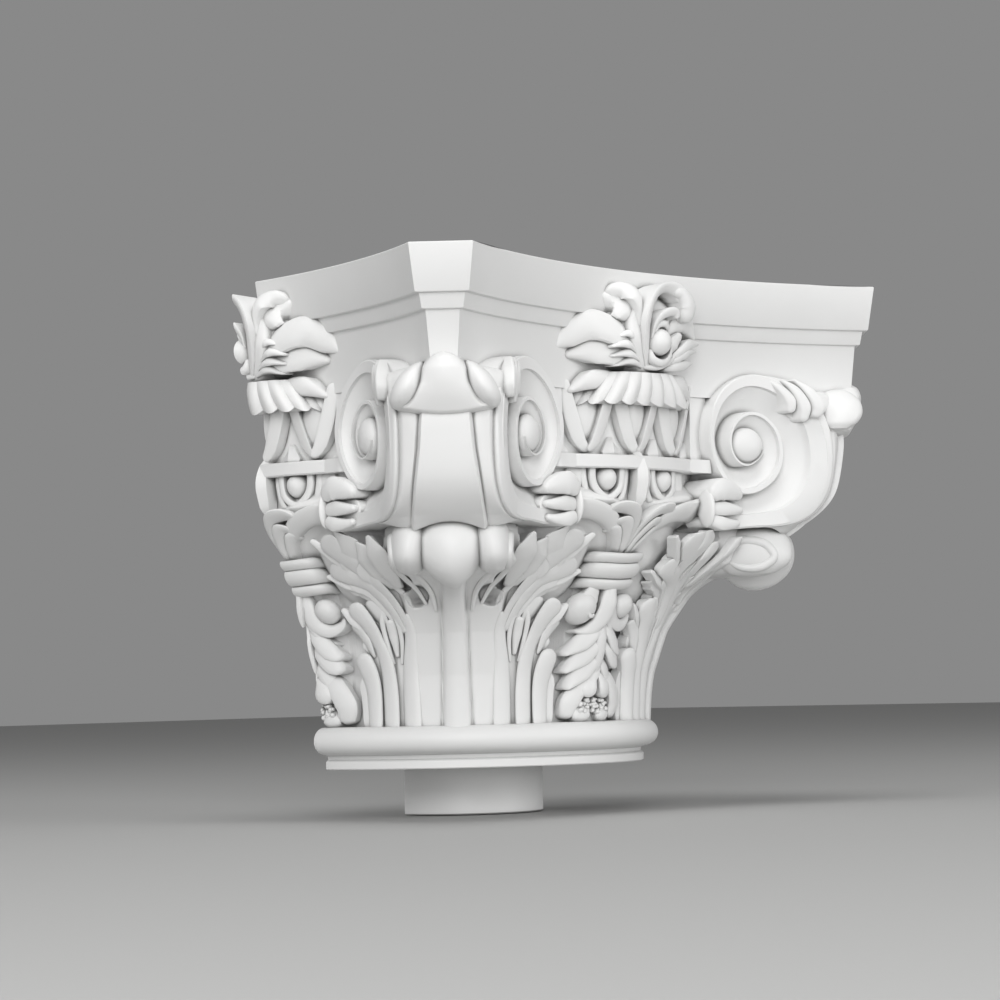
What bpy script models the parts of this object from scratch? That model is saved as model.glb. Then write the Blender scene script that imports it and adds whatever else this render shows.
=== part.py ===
"""Half capital of a column that stands against a wall, cast in one piece.

The column's axis is Z and the origin lies on it, level with the underside of
the neck ring. The flat back is the plane y = 0 and everything else lies in
front of it, at negative y. Sizes are in millimetres until a mesh is made.
"""
import bpy
import numpy as np

MM = 0.001

# Driving dimensions
ABACUS_HALF = 200.0
HEIGHT = 292.0
CORNER_INSET = 25.3
FACE_HOLLOW = 37.8
NECK_RADIUS = 113.6
TORUS_RADIUS = 123.0
BELL_RADIUS = 104.0
BAND_RADIUS = 161.5
SPIGOT_RADIUS = 50.0
SPIGOT_LENGTH = 30.0

# Levels above the underside of the neck ring
FILLET_TOP = 5.2
TORUS_LEVEL = 17.3
LEAF_FOOT = 25.5
BELL_TOP = 156.0
BAND_FOOT = 174.5
BAND_TOP = 182.5
ABACUS_FOOT = 206.0
EGG_TOP = 222.0

# Abacus steps: level, and how far the outline has drawn in from the top one
ABACUS_STEPS = (
    (ABACUS_FOOT, 17.5),
    (255.4, 12.2),
    (257.8, 9.2),
    (264.2, 7.6),
    (266.6, 4.2),
    (HEIGHT, 0.0),
)

# Bell under the ornament: level and radius
BELL_OUTLINE = (
    (LEAF_FOOT, BELL_RADIUS),
    (55.0, 104.5),
    (80.0, 107.5),
    (100.0, 113.5),
    (118.0, 122.5),
    (135.0, 134.0),
    (148.0, 144.0),
    (BELL_TOP, 150.0),
)

# Bell from the band up to where it goes into the abacus: level and radius
UPPER_OUTLINE = (
    (BAND_TOP + 2.0, 148.5),
    (205.0, 150.5),
    (EGG_TOP - 3.0, 160.0),
    (EGG_TOP, 162.0),
    (EGG_TOP + 0.6, 152.0),
    (EGG_TOP + 9.0, 150.5),
)

# Eggs and darts
EGG_PITCH = 14.0
EGG_DRUM = 156.0
SMALL_EGG_TURN = 9.0
SMALL_EGG_DRUM = 151.0
LEAF_DRUM = 155.0

# Scroll: centre of its eye, and outer edge as degrees wound and distance off it
SCROLL_EYE = (96.0, 193.0)
SCROLL_WOUND = (0, 37, 84, 130, 177, 215, 247, 300, 345, 390, 441, 490, 537, 605, 692, 740, 791)
SCROLL_REACH = (51, 55, 46.5, 44, 43, 38, 34, 31, 32, 27, 20.5, 19.5, 20, 16.5, 15, 11, 8.5)
SCROLL_EYE_RADIUS = 9.0
SCROLL_THICKNESS = 34.0
CHANNEL_DEPTH = 6.0

# Front between the scrolls of a corner: level and distance from the axis
CORNER_FRONT = (
    (228.0, 240.0),
    (200.0, 243.0),
    (178.0, 241.5),
    (162.0, 236.5),
    (151.0, 227.5),
    (144.0, 217.0),
    (140.5, 207.0),
    (139.5, 190.0),
)

PLASTER = (0.86, 0.86, 0.85, 1.0)
PLASTER_ROUGHNESS = 0.55
ROUND_STEPS = 48
FIRST_EDGE = 0.09
BACK_MARGIN = 60.0
KEPT_SHARE = 0.35
MOSTLY_BEHIND = 4.0


# Mesh helpers


def rings_to_mesh(rings, first=None, last=None):
    """Closed shell over a stack of closed loops, with a point at each end."""
    rings = np.asarray(rings, float)
    count, around = rings.shape[:2]
    first = rings[0].mean(0) if first is None else np.asarray(first, float)
    last = rings[-1].mean(0) if last is None else np.asarray(last, float)
    points = np.concatenate([rings.reshape(-1, 3), [first], [last]])
    low = np.arange(around)
    high = (low + 1) % around
    faces = []
    for level in range(count - 1):
        here, above = level * around, (level + 1) * around
        faces += [(here + a, here + b, above + b, above + a) for a, b in zip(low, high)]
    top = (count - 1) * around
    faces += [(b, a, count * around) for a, b in zip(low, high)]
    faces += [(top + a, top + b, count * around + 1) for a, b in zip(low, high)]
    return facing_out(points, faces)


def facing_out(points, faces):
    """Turns all faces round if the shell encloses a negative volume."""
    volume = 0.0
    for face in faces:
        corner = points[list(face)]
        for k in range(1, len(face) - 1):
            volume += np.dot(corner[0], np.cross(corner[k], corner[k + 1]))
    if volume < 0:
        faces = [tuple(reversed(face)) for face in faces]
    return points, faces


def placed(shape, change):
    """A copy of the shape with every point put through a function."""
    return facing_out(change(shape[0]), shape[1])


def smooth(knots, count):
    """Catmull-Rom curve through the knots, read at evenly spaced places."""
    knots = np.asarray(knots, float)
    if len(knots) == 2:
        return knots[0] + np.linspace(0, 1, count)[:, None] * (knots[1] - knots[0])
    before, after = 2 * knots[0] - knots[1], 2 * knots[-1] - knots[-2]
    knots = np.concatenate([[before], knots, [after]])
    place = np.linspace(0, len(knots) - 3, count)
    i = np.minimum(place.astype(int), len(knots) - 4)
    t = (place - i)[:, None]
    a, b, c, d = knots[i], knots[i + 1], knots[i + 2], knots[i + 3]
    return 0.5 * (2 * b + (c - a) * t + (2 * a - 5 * b + 4 * c - d) * t**2 + (3 * b - a - 3 * c + d) * t**3)


def spread(values, count):
    """A few values stretched evenly over count places."""
    values = np.atleast_1d(np.asarray(values, float))
    return np.interp(np.linspace(0, 1, count), np.linspace(0, 1, len(values)), values)


def blob(centre, radii, tilt=0.0, around=8, levels=4):
    """Egg-shaped solid; tilt turns it in the plane of u and v."""
    lat = np.radians(np.linspace(-90, 90, levels + 2)[1:-1])[:, None]
    lon = np.linspace(0, 2 * np.pi, around, endpoint=False)[None]
    unit = np.stack([np.cos(lat) * np.cos(lon), np.sin(lat) + 0 * lon, np.cos(lat) * np.sin(lon)], -1)
    turn = np.radians(tilt)

    def change(p):
        p = p * np.asarray(radii, float)
        u = p[..., 0] * np.cos(turn) - p[..., 1] * np.sin(turn)
        v = p[..., 0] * np.sin(turn) + p[..., 1] * np.cos(turn)
        return np.stack([u, v, p[..., 2]], -1) + np.asarray(centre, float)

    foot, top = change(np.array([[0, -1.0, 0], [0, 1.0, 0]]))
    return rings_to_mesh(change(unit), foot, top)


def bulb(rows, foot, around=10):
    """Solid of stacked ovals; a row is u, v, w, half width in u, half depth in w."""
    angle = np.linspace(0, 2 * np.pi, around, endpoint=False)
    rings = []
    for u, v, w, half, depth in rows:
        rings.append(np.stack([u + half * np.cos(angle), v + 0 * angle, w + depth * np.sin(angle)], -1))
    return rings_to_mesh(rings, None, foot)


def ridge(knots, width, height, base=4.0, steps=7, sides=6):
    """Rounded strip that follows knots (u, v, w), w being height off the wall."""
    path = smooth(knots, steps)
    along = np.gradient(path[:, :2], axis=0)
    along /= np.linalg.norm(along, axis=1)[:, None]
    across = np.stack([-along[:, 1], along[:, 0], 0 * along[:, 0]], -1)
    angle = np.linspace(0, 2 * np.pi, sides, endpoint=False) + np.pi / sides
    side = np.cos(angle)[None, :, None] * spread(width, steps)[:, None, None] / 2
    rise = np.sin(angle)[None] * np.where(np.sin(angle) > 0, spread(height, steps)[:, None], base)
    rings = path[:, None] + across[:, None] * side
    rings[..., 2] += rise
    return rings_to_mesh(rings)


# Places to put ornament on


def polar(radius, turn, level):
    """Turn 0 is the middle of the front face, and grows towards +X."""
    return np.stack([radius * np.sin(turn), -radius * np.cos(turn), level], -1)


def bell_radius(level):
    return np.interp(level, [p[0] for p in BELL_OUTLINE], [p[1] for p in BELL_OUTLINE])


def on_bell(p):
    """u along the wall in mm, v level, w off the bell, about the face's middle."""
    radius = bell_radius(p[..., 1])
    return polar(radius + p[..., 2], p[..., 0] / radius, p[..., 1])


def on_drum(radius, degrees=0.0):
    """u along an upright drum, v level, w off it, turned by some degrees."""

    def change(p):
        return polar(radius + p[..., 2], np.radians(degrees) + p[..., 0] / radius, p[..., 1])

    return change


def on_face(p):
    """u across the face, v level, w distance in front of the axis."""
    return np.stack([p[..., 0], -p[..., 2], p[..., 1]], -1)


def on_corner(p):
    """u across the corner, v level, w distance from the axis on the diagonal."""
    out, side = p[..., 2] / 2**0.5, p[..., 0] / 2**0.5
    return np.stack([out - side, -out - side, p[..., 1]], -1)


def on_volute(p):
    """u across the front face, v level, w off the scroll's curved face."""
    front = 158.0 + 0.00425 * np.clip(p[..., 0] - 60.0, 0, None) ** 2
    return np.stack([p[..., 0], -front - p[..., 2], p[..., 1]], -1)


def turned(degrees):
    angle = np.radians(degrees)
    c, s = np.cos(angle), np.sin(angle)

    def change(p):
        return np.stack([c * p[..., 0] - s * p[..., 1], s * p[..., 0] + c * p[..., 1], p[..., 2]], -1)

    return change


def mirror_x(p):
    return p * np.array([-1.0, 1.0, 1.0])


def to_right_face(p):
    """Mirrors the front face onto the one at +X, across the corner between."""
    return np.stack([-p[..., 1], -p[..., 0], p[..., 2]], -1)


def to_left_face(p):
    """Mirrors the front face onto the one at -X, across the corner between."""
    return np.stack([p[..., 1], p[..., 0], p[..., 2]], -1)


def off_the_cut(p):
    """A hair forward, so that no edge of a side face lies in the flat back."""
    return p - np.array([0.0, 0.23, 0.0])


# Plain body


def abacus_outline(inset, arc_steps=9):
    """Plan of the abacus: four hollow sides and four cut corners, drawn in."""
    half_chord = ABACUS_HALF - CORNER_INSET
    top_radius = (half_chord**2 + FACE_HOLLOW**2) / (2 * FACE_HOLLOW)
    centre = FACE_HOLLOW - ABACUS_HALF - top_radius
    radius = top_radius + inset
    cut_distance = (2 * ABACUS_HALF - CORNER_INSET) / 2**0.5 - inset
    # The arc meets the cut corner, the line x - y = cut_distance * sqrt 2
    end = np.pi / 4 + np.arcsin((2**0.5 * cut_distance + centre) / (2**0.5 * radius))
    angle = np.linspace(-end, end, arc_steps + 1)
    side = np.stack([radius * np.sin(angle), centre + radius * np.cos(angle), 0 * angle], -1)
    return np.concatenate([turned(90 * k)(side) for k in range(4)])


def abacus():
    rings = []
    for level, inset in ABACUS_STEPS:
        ring = abacus_outline(inset)
        ring[:, 2] = level
        rings.append(ring)
    return rings_to_mesh(rings)


def body_outline():
    """Level and radius of the turned body, from the spigot up."""
    torus_height, torus_depth, groove = 8.2, 8.6, 1.8
    outline = [(-SPIGOT_LENGTH, SPIGOT_RADIUS), (0.0, SPIGOT_RADIUS), (0.0, NECK_RADIUS)]
    outline += [(FILLET_TOP, NECK_RADIUS), (FILLET_TOP + 0.8, NECK_RADIUS - groove)]
    for angle in np.radians(np.linspace(-80, 90, 7)):
        radius = TORUS_RADIUS - torus_depth + torus_depth * np.cos(angle)
        outline.append((TORUS_LEVEL + torus_height * np.sin(angle), radius))
    outline += BELL_OUTLINE
    outline += [(BAND_FOOT, 152.0), (BAND_FOOT, BAND_RADIUS - 1.5), (BAND_FOOT + 1.5, BAND_RADIUS)]
    outline += [(BAND_TOP, BAND_RADIUS), (BAND_TOP + 1.5, 155.0)]
    return outline + list(UPPER_OUTLINE)


def turned_body():
    """Spigot, ring, bell, plain band and the wall behind the eggs."""
    turn = 2 * np.pi * (np.arange(ROUND_STEPS) + FIRST_EDGE) / ROUND_STEPS
    return rings_to_mesh([polar(radius, turn, level + 0 * turn) for level, radius in body_outline()])


# Ornament of one face, about its middle


def shell_halves(width, foot, top, thickness, steps=5):
    """Pointed U of flat strap round an egg, as two mirrored halves."""
    halves = []
    for side in (-1, 1):
        v = np.linspace(top, foot, steps)
        fall = (top - v) / (top - foot)
        u = side * width * (1 - fall**2.2) / 2
        path = np.stack([u, v, 0 * u], -1)
        halves.append(ridge(path, 4.8, thickness, base=4.0, steps=steps, sides=4))
    return halves


def egg_ring(count=2):
    """Large eggs with their shells and darts, on a drum under the abacus."""
    egg = blob((0, 206, -5), (12.0, 19.0, 9.0))
    shell = shell_halves(33.0, 182.0, 221.0, 2.5)
    dart = blob((19.1, 188.0, -2.5), (5.0, 6.0, 5.0), around=4, levels=2)
    shapes = []
    for k in range(-count, count + 1):
        parts = [egg] + shell + ([dart] if k < count else [])
        shapes += [placed(part, on_drum(EGG_DRUM, EGG_PITCH * k)) for part in parts]
    return shapes


def small_egg_row():
    """Two small eggs in double frames, a keeled leaf between and a slab beyond."""
    shapes = []
    for side in (-1, 1):
        parts = [blob((0, 166.5, 0), (6.5, 9.5, 6.0), levels=3)]
        for arm in (-1, 1):
            frame = [(arm * 11.5, 175, 2), (arm * 11.0, 166, 3), (arm * 6.5, 158, 3.5), (0, 155.5, 3.5)]
            parts.append(ridge(frame, 4.0, 3.0, steps=5, sides=4))
        slab = [(side * 17, 175, 1), (side * 18, 162, 1.5), (side * 21, 154, 2)]
        parts.append(ridge(slab, (12, 11, 5), 3.0, steps=3))
        shapes += [placed(part, on_drum(SMALL_EGG_DRUM, side * SMALL_EGG_TURN)) for part in parts]
    leaf = ridge([(0, 184, 5), (0, 172, 6.5), (0, 160, 3.5), (0, 151, 1)], (2, 10, 9, 3), 5.0, steps=5)
    return shapes + [placed(leaf, on_drum(LEAF_DRUM))]


def fluted_cup(flutes=9):
    """Half bell under the fleuron, scalloped along its lower rim."""
    foot_reach, top_reach, back = 30.0, 17.0, 150.0
    shapes = [blob((0, 222, back), (26, 10, 16), around=10, levels=3)]
    for turn in np.radians(np.linspace(-80, 80, flutes)):
        foot = (foot_reach * np.sin(turn), 215.0, back + 19 * np.cos(turn))
        top = (top_reach * np.sin(turn), 229.0, back + 10 * np.cos(turn))
        shapes.append(flute(top, foot))
    for side in (-1, 1):
        leaf = [(side * 16, 228, 160), (side * 30, 224, 160), (side * 42, 220, 157)]
        shapes.append(ridge(leaf, (10, 12, 4), 5.0, base=14, steps=4))
    return [placed(shape, on_face) for shape in shapes]


def flute(top, foot):
    top, foot = np.asarray(top, float), np.asarray(foot, float)
    middle = (top + foot) / 2 + np.array([foot[0] * 0.10, 1.0, 3.0])
    path = smooth([top, middle, foot], 4)
    size = (3.5, 5.5, 6.2, 4.0)
    rows = [(u, v, w, half, half) for (u, v, w), half in zip(path, size)]
    return bulb(rows, path[-1] - [0, 3, 0], around=6)


def fleuron():
    """Curled leaf work at the middle of the abacus face."""
    left_stem = [(-4, 232, 166), (-7, 245, 170), (-9, 262, 172), (-14, 275, 172), (-24, 281, 168)]
    hook = [(-2, 236, 168), (-1, 252, 172), (3, 266, 174), (12, 278, 175), (23, 276, 175), (26, 266, 174)]
    inner_hook = [(0, 250, 170), (4, 261, 173), (10, 266, 174), (15, 262, 173)]
    left_leaf = [(-14, 236, 160), (-26, 250, 164), (-42, 254, 160), (-56, 242, 152)]
    low_leaf = [(-10, 234, 160), (-28, 238, 160), (-46, 236, 152)]
    right_leaf = [(8, 236, 164), (20, 246, 168), (30, 252, 166), (36, 246, 162)]
    low_right_leaf = [(6, 234, 162), (16, 236, 165), (26, 238, 162)]
    strips = (
        (left_stem, (16, 15, 14, 13, 8), 8.0, 6),
        (hook, (10, 9, 9, 10, 10, 8), 6.0, 9),
        (inner_hook, (6, 7, 7, 5), 5.0, 5),
        (right_leaf, (12, 14, 12, 6), 7.0, 6),
        (low_right_leaf, (8, 9, 6), 6.0, 4),
        (left_leaf, (14, 22, 20, 6), 6.0, 6),
        (low_leaf, (6, 9, 6), 6.0, 4),
    )
    parts = [ridge(knots, width, height, base=44, steps=steps) for knots, width, height, steps in strips]
    parts += [
        blob((1.5, 248, 174), (8.0, 8.0, 9.0)),
        bulb([(-29, 282, 150, 9, 14), (-29, 273, 150, 16, 20), (-29, 265, 150, 10, 16)], (-29, 262, 150), around=8),
        bulb([(0, 278, 148, 14, 16), (0, 268, 148, 24, 18), (0, 244, 148, 27, 18)], (0, 230, 148)),
    ]
    return [placed(part, on_face) for part in parts]


def garland():
    """Ribbon, fruit, strap leaves and a flower, hung down the bell."""
    parts = []
    for level, half, depth in ((124, 16, 15), (116, 18, 17), (108, 16.5, 17)):
        parts.append(blob((0, level, 2), (half, 4.8, depth), around=10, levels=3))
    straps = (
        ([(0, 132, 5), (0, 112, 9), (-1, 95, 11), (-6, 80, 10)], (18, 16, 12, 6), 6.0),
        ([(2, 108, 8), (6, 90, 9), (15, 84, 8), (23, 90, 6)], (7, 7, 7, 6), 5.0),
        ([(-1, 92, 9), (-6, 78, 9), (-14, 70, 8), (-22, 68, 5)], (8, 10, 9, 4), 5.0),
        ([(0, 84, 8), (7, 76, 8), (13, 68, 7), (22, 66, 5)], (8, 11, 11, 6), 5.0),
        ([(-2, 78, 8), (-8, 64, 8), (-16, 56, 6), (-24, 48, 3)], (8, 12, 11, 4), 4.5),
        ([(1, 74, 8), (6, 62, 8), (12, 54, 6), (20, 46, 3)], (8, 11, 10, 4), 4.5),
    )
    for knots, width, height in straps:
        parts.append(ridge(knots, width, height, base=10, steps=6))
    parts += [
        blob((-11, 93, 10), (10.5, 12, 10), tilt=-8),
        blob((15, 96, 8), (7, 8, 8)),
        blob((0, 38, 6), (11, 14, 9)),
        blob((-9, 32, 5), (6, 10, 6), tilt=20),
        blob((9, 34, 5), (7, 12, 6), tilt=-15),
        ridge([(0, 108, 4), (0, 70, 4), (0, 34, 3)], (14, 16, 14), 5.0, base=12, steps=4),
    ]
    return [placed(part, on_bell) for part in parts]


def stalks():
    """Stem on each side from the ribbon up to the husk of the scroll's tail."""
    shapes = []
    for side in (-1, 1):
        stem = [(side * 5, 126, 7), (side * 13, 138, 9), (side * 26, 148, 8), (side * 40, 151, 6)]
        curl = [(side * 2, 128, 8), (side * 5, 140, 10), (side * 12, 150, 9), (side * 22, 155, 8)]
        shapes += [
            ridge(stem, (11, 9, 9, 9), 6.0, base=10, steps=6),
            ridge(curl, (7, 7, 7, 4), 5.0, base=10, steps=5),
            blob((side * 44, 151, 8), (5, 12, 9)),
        ]
    return [placed(shape, on_bell) for shape in shapes]


# Ornament of one corner, about the diagonal at +X, -Y


def corner_band():
    """Flared front between the two scrolls: panel, grooves and side bands."""
    rings = []
    path = smooth(CORNER_FRONT, 9)
    for (level, out), share in zip(path, np.linspace(0, 1, len(path))):
        panel = 12.5 + 7.5 * share
        edge = 25.0 + 17.0 * share**2
        across = np.array([-edge, -panel - 3, -panel, panel, panel + 3, edge, edge - 4, 4 - edge])
        depth = np.array([-3.0, 0.0, 1.5, 1.5, 0.0, -3.0, -46.0, -46.0])
        rise = np.array([0, 0, 0, 0, 0, 0, 8.0, 8.0]) * share
        rings.append(np.stack([across, level + rise, out + depth], -1))
    return [placed(rings_to_mesh(rings), on_corner)]


def scroll_edge(wound):
    """Distance of the spiral's outer edge from the eye, by degrees wound."""
    return np.interp(wound, SCROLL_WOUND, SCROLL_REACH)


def scroll_turn(start, end, back, steps):
    """Part of the spiral: a rim that falls into the channel inside it."""
    wound = np.linspace(start, end, steps)[:, None]
    outer = scroll_edge(wound)
    inner = np.maximum(scroll_edge(wound + 360) - 2.0, 0.5)
    share = np.array([0.0, 0.42, 0.5, 1.0, 1.0, 0.0])
    depth = np.array([0.0, 0.0, -0.35 * CHANNEL_DEPTH, -CHANNEL_DEPTH, -back, -back])
    reach = outer + (inner - outer) * share
    angle = np.radians(wound - 90)
    u = SCROLL_EYE[0] + reach * np.cos(angle)
    v = SCROLL_EYE[1] + reach * np.sin(angle)
    return rings_to_mesh(np.stack([u, v, depth + 0 * u], -1))


def scroll():
    """Scroll with its tail, on the front face and mirrored round the corner."""
    tail = [(112, 149, -4), (98, 149, -2), (82, 151, 0), (66, 153, 1)]
    parts = [
        scroll_turn(0, 350, SCROLL_THICKNESS, 18),
        scroll_turn(340, 760, SCROLL_THICKNESS / 2, 20),
        blob((SCROLL_EYE[0], SCROLL_EYE[1], -4), (SCROLL_EYE_RADIUS, SCROLL_EYE_RADIUS, 9.0)),
        blob((SCROLL_EYE[0] - 4, SCROLL_EYE[1], -24), (34, 36, 16), around=10),
        ridge(tail, (15, 15, 17, 20), 6.0, base=24, steps=5),
    ]
    for knots in (
        [(106, 231, 0), (114, 225, 4), (119, 217, 5), (119.5, 210, 2)],
        [(114, 232, 1), (121, 224, 6), (126, 213, 6), (125.5, 203, 2)],
        [(123, 230, 2), (130, 222, 7), (132.5, 213, 7), (131, 206, 3)],
    ):
        parts.append(ridge(knots, (6, 8, 7, 3), 5.0, base=14, steps=5))
    shapes = [placed(part, on_volute) for part in parts]
    return shapes + [placed(shape, to_right_face) for shape in shapes]


def corner_cap():
    """Three-lobed leaf over the top of the corner band."""
    middle = [(0, 227, 238, 12, 16), (0, 218, 238, 13.5, 17.5), (0, 207, 236, 14, 15.5), (0, 200, 235, 13, 11)]
    parts = [bulb([(0, 231, 236, 6, 12)] + middle, (0, 198, 235))]
    for side in (-1, 1):
        lobe = [
            (side * 13, 225, 238, 4, 10),
            (side * 19, 217, 238, 7, 12),
            (side * 22.5, 209, 236, 7, 10),
            (side * 24, 204, 235, 4.5, 7),
        ]
        roll = [(side * 8, 221, 234), (side * 24, 223, 231), (side * 40, 224, 219)]
        parts.append(bulb(lobe, (side * 24.5, 201.5, 235), around=8))
        parts.append(ridge(roll, (14, 15, 12), 7.0, base=24, steps=4))
    return [placed(part, on_corner) for part in parts]


def corner_tip():
    """Lobed end of the acanthus leaf, hanging under the corner band."""
    middle = [(0, 140, 186, 17, 21), (0, 130, 187, 17.5, 23.5), (0, 120, 187, 16, 23), (0, 111, 186, 10, 17)]
    parts = [bulb(middle, (0, 104, 185), around=12)]
    for side in (-1, 1):
        lobe = [
            (side * 22, 141, 184, 8.5, 17),
            (side * 23.5, 131, 185, 10, 20),
            (side * 24, 120, 185, 9, 18),
            (side * 23.5, 114, 185, 5, 11),
        ]
        parts.append(bulb(lobe, (side * 23.5, 111.5, 185)))
    neck_knots = [(0, 60, 112), (0, 92, 122), (0, 112, 148), (0, 125, 180)]
    parts.append(ridge(neck_knots, (26, 28, 34, 40), 8.0, base=18, steps=6))
    return [placed(part, on_corner) for part in parts]


def bell_knots(points, side=1):
    """Knots given as degrees off the diagonal, level and height off the bell."""
    return [(side * np.radians(turn) * bell_radius(level), level, off) for turn, level, off in points]


def acanthus():
    """Leaf that climbs the bell under the corner: midrib, panels, ribs and lobes."""
    midrib = bell_knots([(0, 23, 9), (0, 60, 10), (0, 95, 14), (0, 112, 22)])
    panel = bell_knots([(0, 23, 0), (0, 60, 0), (0, 90, 3), (0, 108, 10)])
    parts = [ridge(midrib, (14, 9, 7, 6), 4.0, base=10, steps=5)]
    parts.append(ridge(panel, (54, 52, 46, 36), 9.0, base=8, steps=5, sides=8))
    ribs = (
        ([(14.5, 23, 6), (14.5, 48, 6), (13, 80, 8), (18, 106, 12), (29.5, 141, 12)], (14.5, 13.5, 10, 12, 6), 9),
        ([(20.5, 23, 5), (20.5, 45, 5), (22, 72, 6), (25, 90, 8), (28.5, 99, 8)], (12.5, 12, 12, 13, 10), 9),
        ([(26.0, 23, 4), (26.0, 45, 5), (27, 60, 6), (28.5, 70, 6)], (12.5, 12, 12, 10), 9),
        ([(17.0, 96, 10), (22, 108, 12), (30.5, 115, 12)], (8, 14, 8), 9),
        ([(17.0, 112, 14), (22, 122, 14), (28, 129, 13)], (6, 9, 5), 12),
        ([(18.0, 112, 14), (20.5, 126, 18), (22, 137, 18)], (8, 14, 8), 16),
        ([(12.0, 112, 18), (15, 125, 24), (17, 134, 24)], (8, 12, 8), 26),
    )
    for knots, width, base in ribs:
        for side in (-1, 1):
            parts.append(ridge(bell_knots(knots, side), width, 6.0, base=base, steps=6))
    return [placed(placed(part, on_bell), turned(45)) for part in parts]


# Putting it together


def as_object(name, shape, material=None):
    mesh = bpy.data.meshes.new(name)
    mesh.from_pydata((shape[0] * MM).tolist(), [], [list(map(int, face)) for face in shape[1]])
    mesh.update()
    if material:
        mesh.materials.append(material)
    return bpy.data.objects.new(name, mesh)


def plaster():
    material = bpy.data.materials.new("white_casting")
    material.use_nodes = True
    shader = material.node_tree.nodes["Principled BSDF"]
    shader.inputs["Base Color"].default_value = PLASTER
    shader.inputs["Roughness"].default_value = PLASTER_ROUGHNESS
    shader.inputs["Metallic"].default_value = 0.0
    return material


def helper(name, shape, collection):
    """An object that only shapes the capital and isn't shown itself."""
    made = as_object(name, shape)
    collection.objects.link(made)
    made.hide_render = True
    made.display_type = "WIRE"
    return made


def join_all(body, collection):
    step = body.modifiers.new("join all", "BOOLEAN")
    step.operation = "UNION"
    step.operand_type = "COLLECTION"
    step.collection = collection
    step.solver = "EXACT"


def take_away(body, other):
    """Cuts with MANIFOLD, since EXACT leaves open edges on the joined ornament."""
    step = body.modifiers.new("take away", "BOOLEAN")
    step.operation = "DIFFERENCE"
    step.object = other
    step.solver = "MANIFOLD"


def thin_out(body, share):
    """Fewer triangles along the seams that the union and the cut leave."""
    step = body.modifiers.new("thin out", "DECIMATE")
    step.ratio = share


def room_behind():
    """Box that takes away everything behind the flat back."""
    reach = ABACUS_HALF + BACK_MARGIN
    low, high = -SPIGOT_LENGTH - BACK_MARGIN, HEIGHT + BACK_MARGIN
    ring = np.array([[-reach, 0, 0], [reach, 0, 0], [reach, reach, 0], [-reach, reach, 0]], float)
    return rings_to_mesh([ring + [0, 0, low], ring + [0, 0, high]])


def ornament_shapes():
    """All ornament of three faces and two corners, less what lies mostly behind."""
    face = egg_ring() + small_egg_row() + fluted_cup() + fleuron() + garland() + stalks()
    corner = corner_band() + scroll() + corner_cap() + corner_tip() + acanthus()
    shapes = list(face)
    for change in (to_left_face, to_right_face):
        shapes += [placed(placed(shape, change), off_the_cut) for shape in face]
    shapes += corner + [placed(shape, mirror_x) for shape in corner]
    return [shape for shape in shapes if shape[0][:, 1].mean() < MOSTLY_BEHIND]


def main():
    for old in list(bpy.data.objects):
        bpy.data.objects.remove(old)
    scene = bpy.context.scene.collection
    ornament = bpy.data.collections.new("ornament")
    scene.children.link(ornament)
    ornament.hide_render = True
    helper("abacus", abacus(), ornament)
    for k, shape in enumerate(ornament_shapes()):
        helper(f"piece_{k:03d}", shape, ornament)

    capital = as_object("capital", turned_body(), plaster())
    scene.objects.link(capital)
    join_all(capital, ornament)
    take_away(capital, helper("room behind", room_behind(), scene))
    thin_out(capital, KEPT_SHARE)


main()
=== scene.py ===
"""Looks of the half capital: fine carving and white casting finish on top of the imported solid.

Lengths are in millimetres until a mesh is made. The column's axis is Z, the origin is level with
the underside of the neck ring, the front is -Y and the flat back lies in the plane y = 0.
"""

import logging
from dataclasses import dataclass
from enum import Enum
from functools import partial
from typing import Callable, Sequence

import bpy
import numpy as np
from mathutils import Matrix


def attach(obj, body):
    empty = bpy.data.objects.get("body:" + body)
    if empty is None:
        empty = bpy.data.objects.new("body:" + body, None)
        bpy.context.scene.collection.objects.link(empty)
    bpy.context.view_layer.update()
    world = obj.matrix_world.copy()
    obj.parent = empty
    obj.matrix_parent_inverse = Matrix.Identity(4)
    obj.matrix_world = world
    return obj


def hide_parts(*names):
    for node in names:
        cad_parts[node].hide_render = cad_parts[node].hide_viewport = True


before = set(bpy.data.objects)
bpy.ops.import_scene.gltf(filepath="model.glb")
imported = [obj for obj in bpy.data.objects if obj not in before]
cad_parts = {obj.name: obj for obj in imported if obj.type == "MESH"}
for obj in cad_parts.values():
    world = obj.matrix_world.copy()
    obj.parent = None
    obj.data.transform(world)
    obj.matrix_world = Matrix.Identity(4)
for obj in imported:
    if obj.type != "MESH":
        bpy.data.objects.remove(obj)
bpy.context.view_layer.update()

logging.basicConfig(level=logging.INFO, format="%(message)s")
log = logging.getLogger("half capital")

Points = np.ndarray
Place = Callable[[Points], Points]
Knots = Sequence[Sequence[float]]

MM = 0.001

# Driving dimensions, as in the solid
ABACUS_HALF = 200.0
HEIGHT = 292.0
CORNER_INSET = 25.3
FACE_HOLLOW = 37.8
NECK_RADIUS = 113.6
TORUS_RADIUS = 123.0
BAND_RADIUS = 161.5
SPIGOT_RADIUS = 50.0
SPIGOT_LENGTH = 30.0
BAND_FOOT = 174.5
BAND_TOP = 182.5
RING_TOP = 25.5
FILLET_TOP = 5.3

# Level and radius of the bell's wall under the leaves
BELL_OUTLINE = (
    (RING_TOP, 104.0),
    (55.0, 104.5),
    (80.0, 107.5),
    (100.0, 113.5),
    (118.0, 122.5),
    (135.0, 134.0),
    (148.0, 144.0),
    (156.0, 150.0),
    (BAND_FOOT, 152.0),
)

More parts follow.
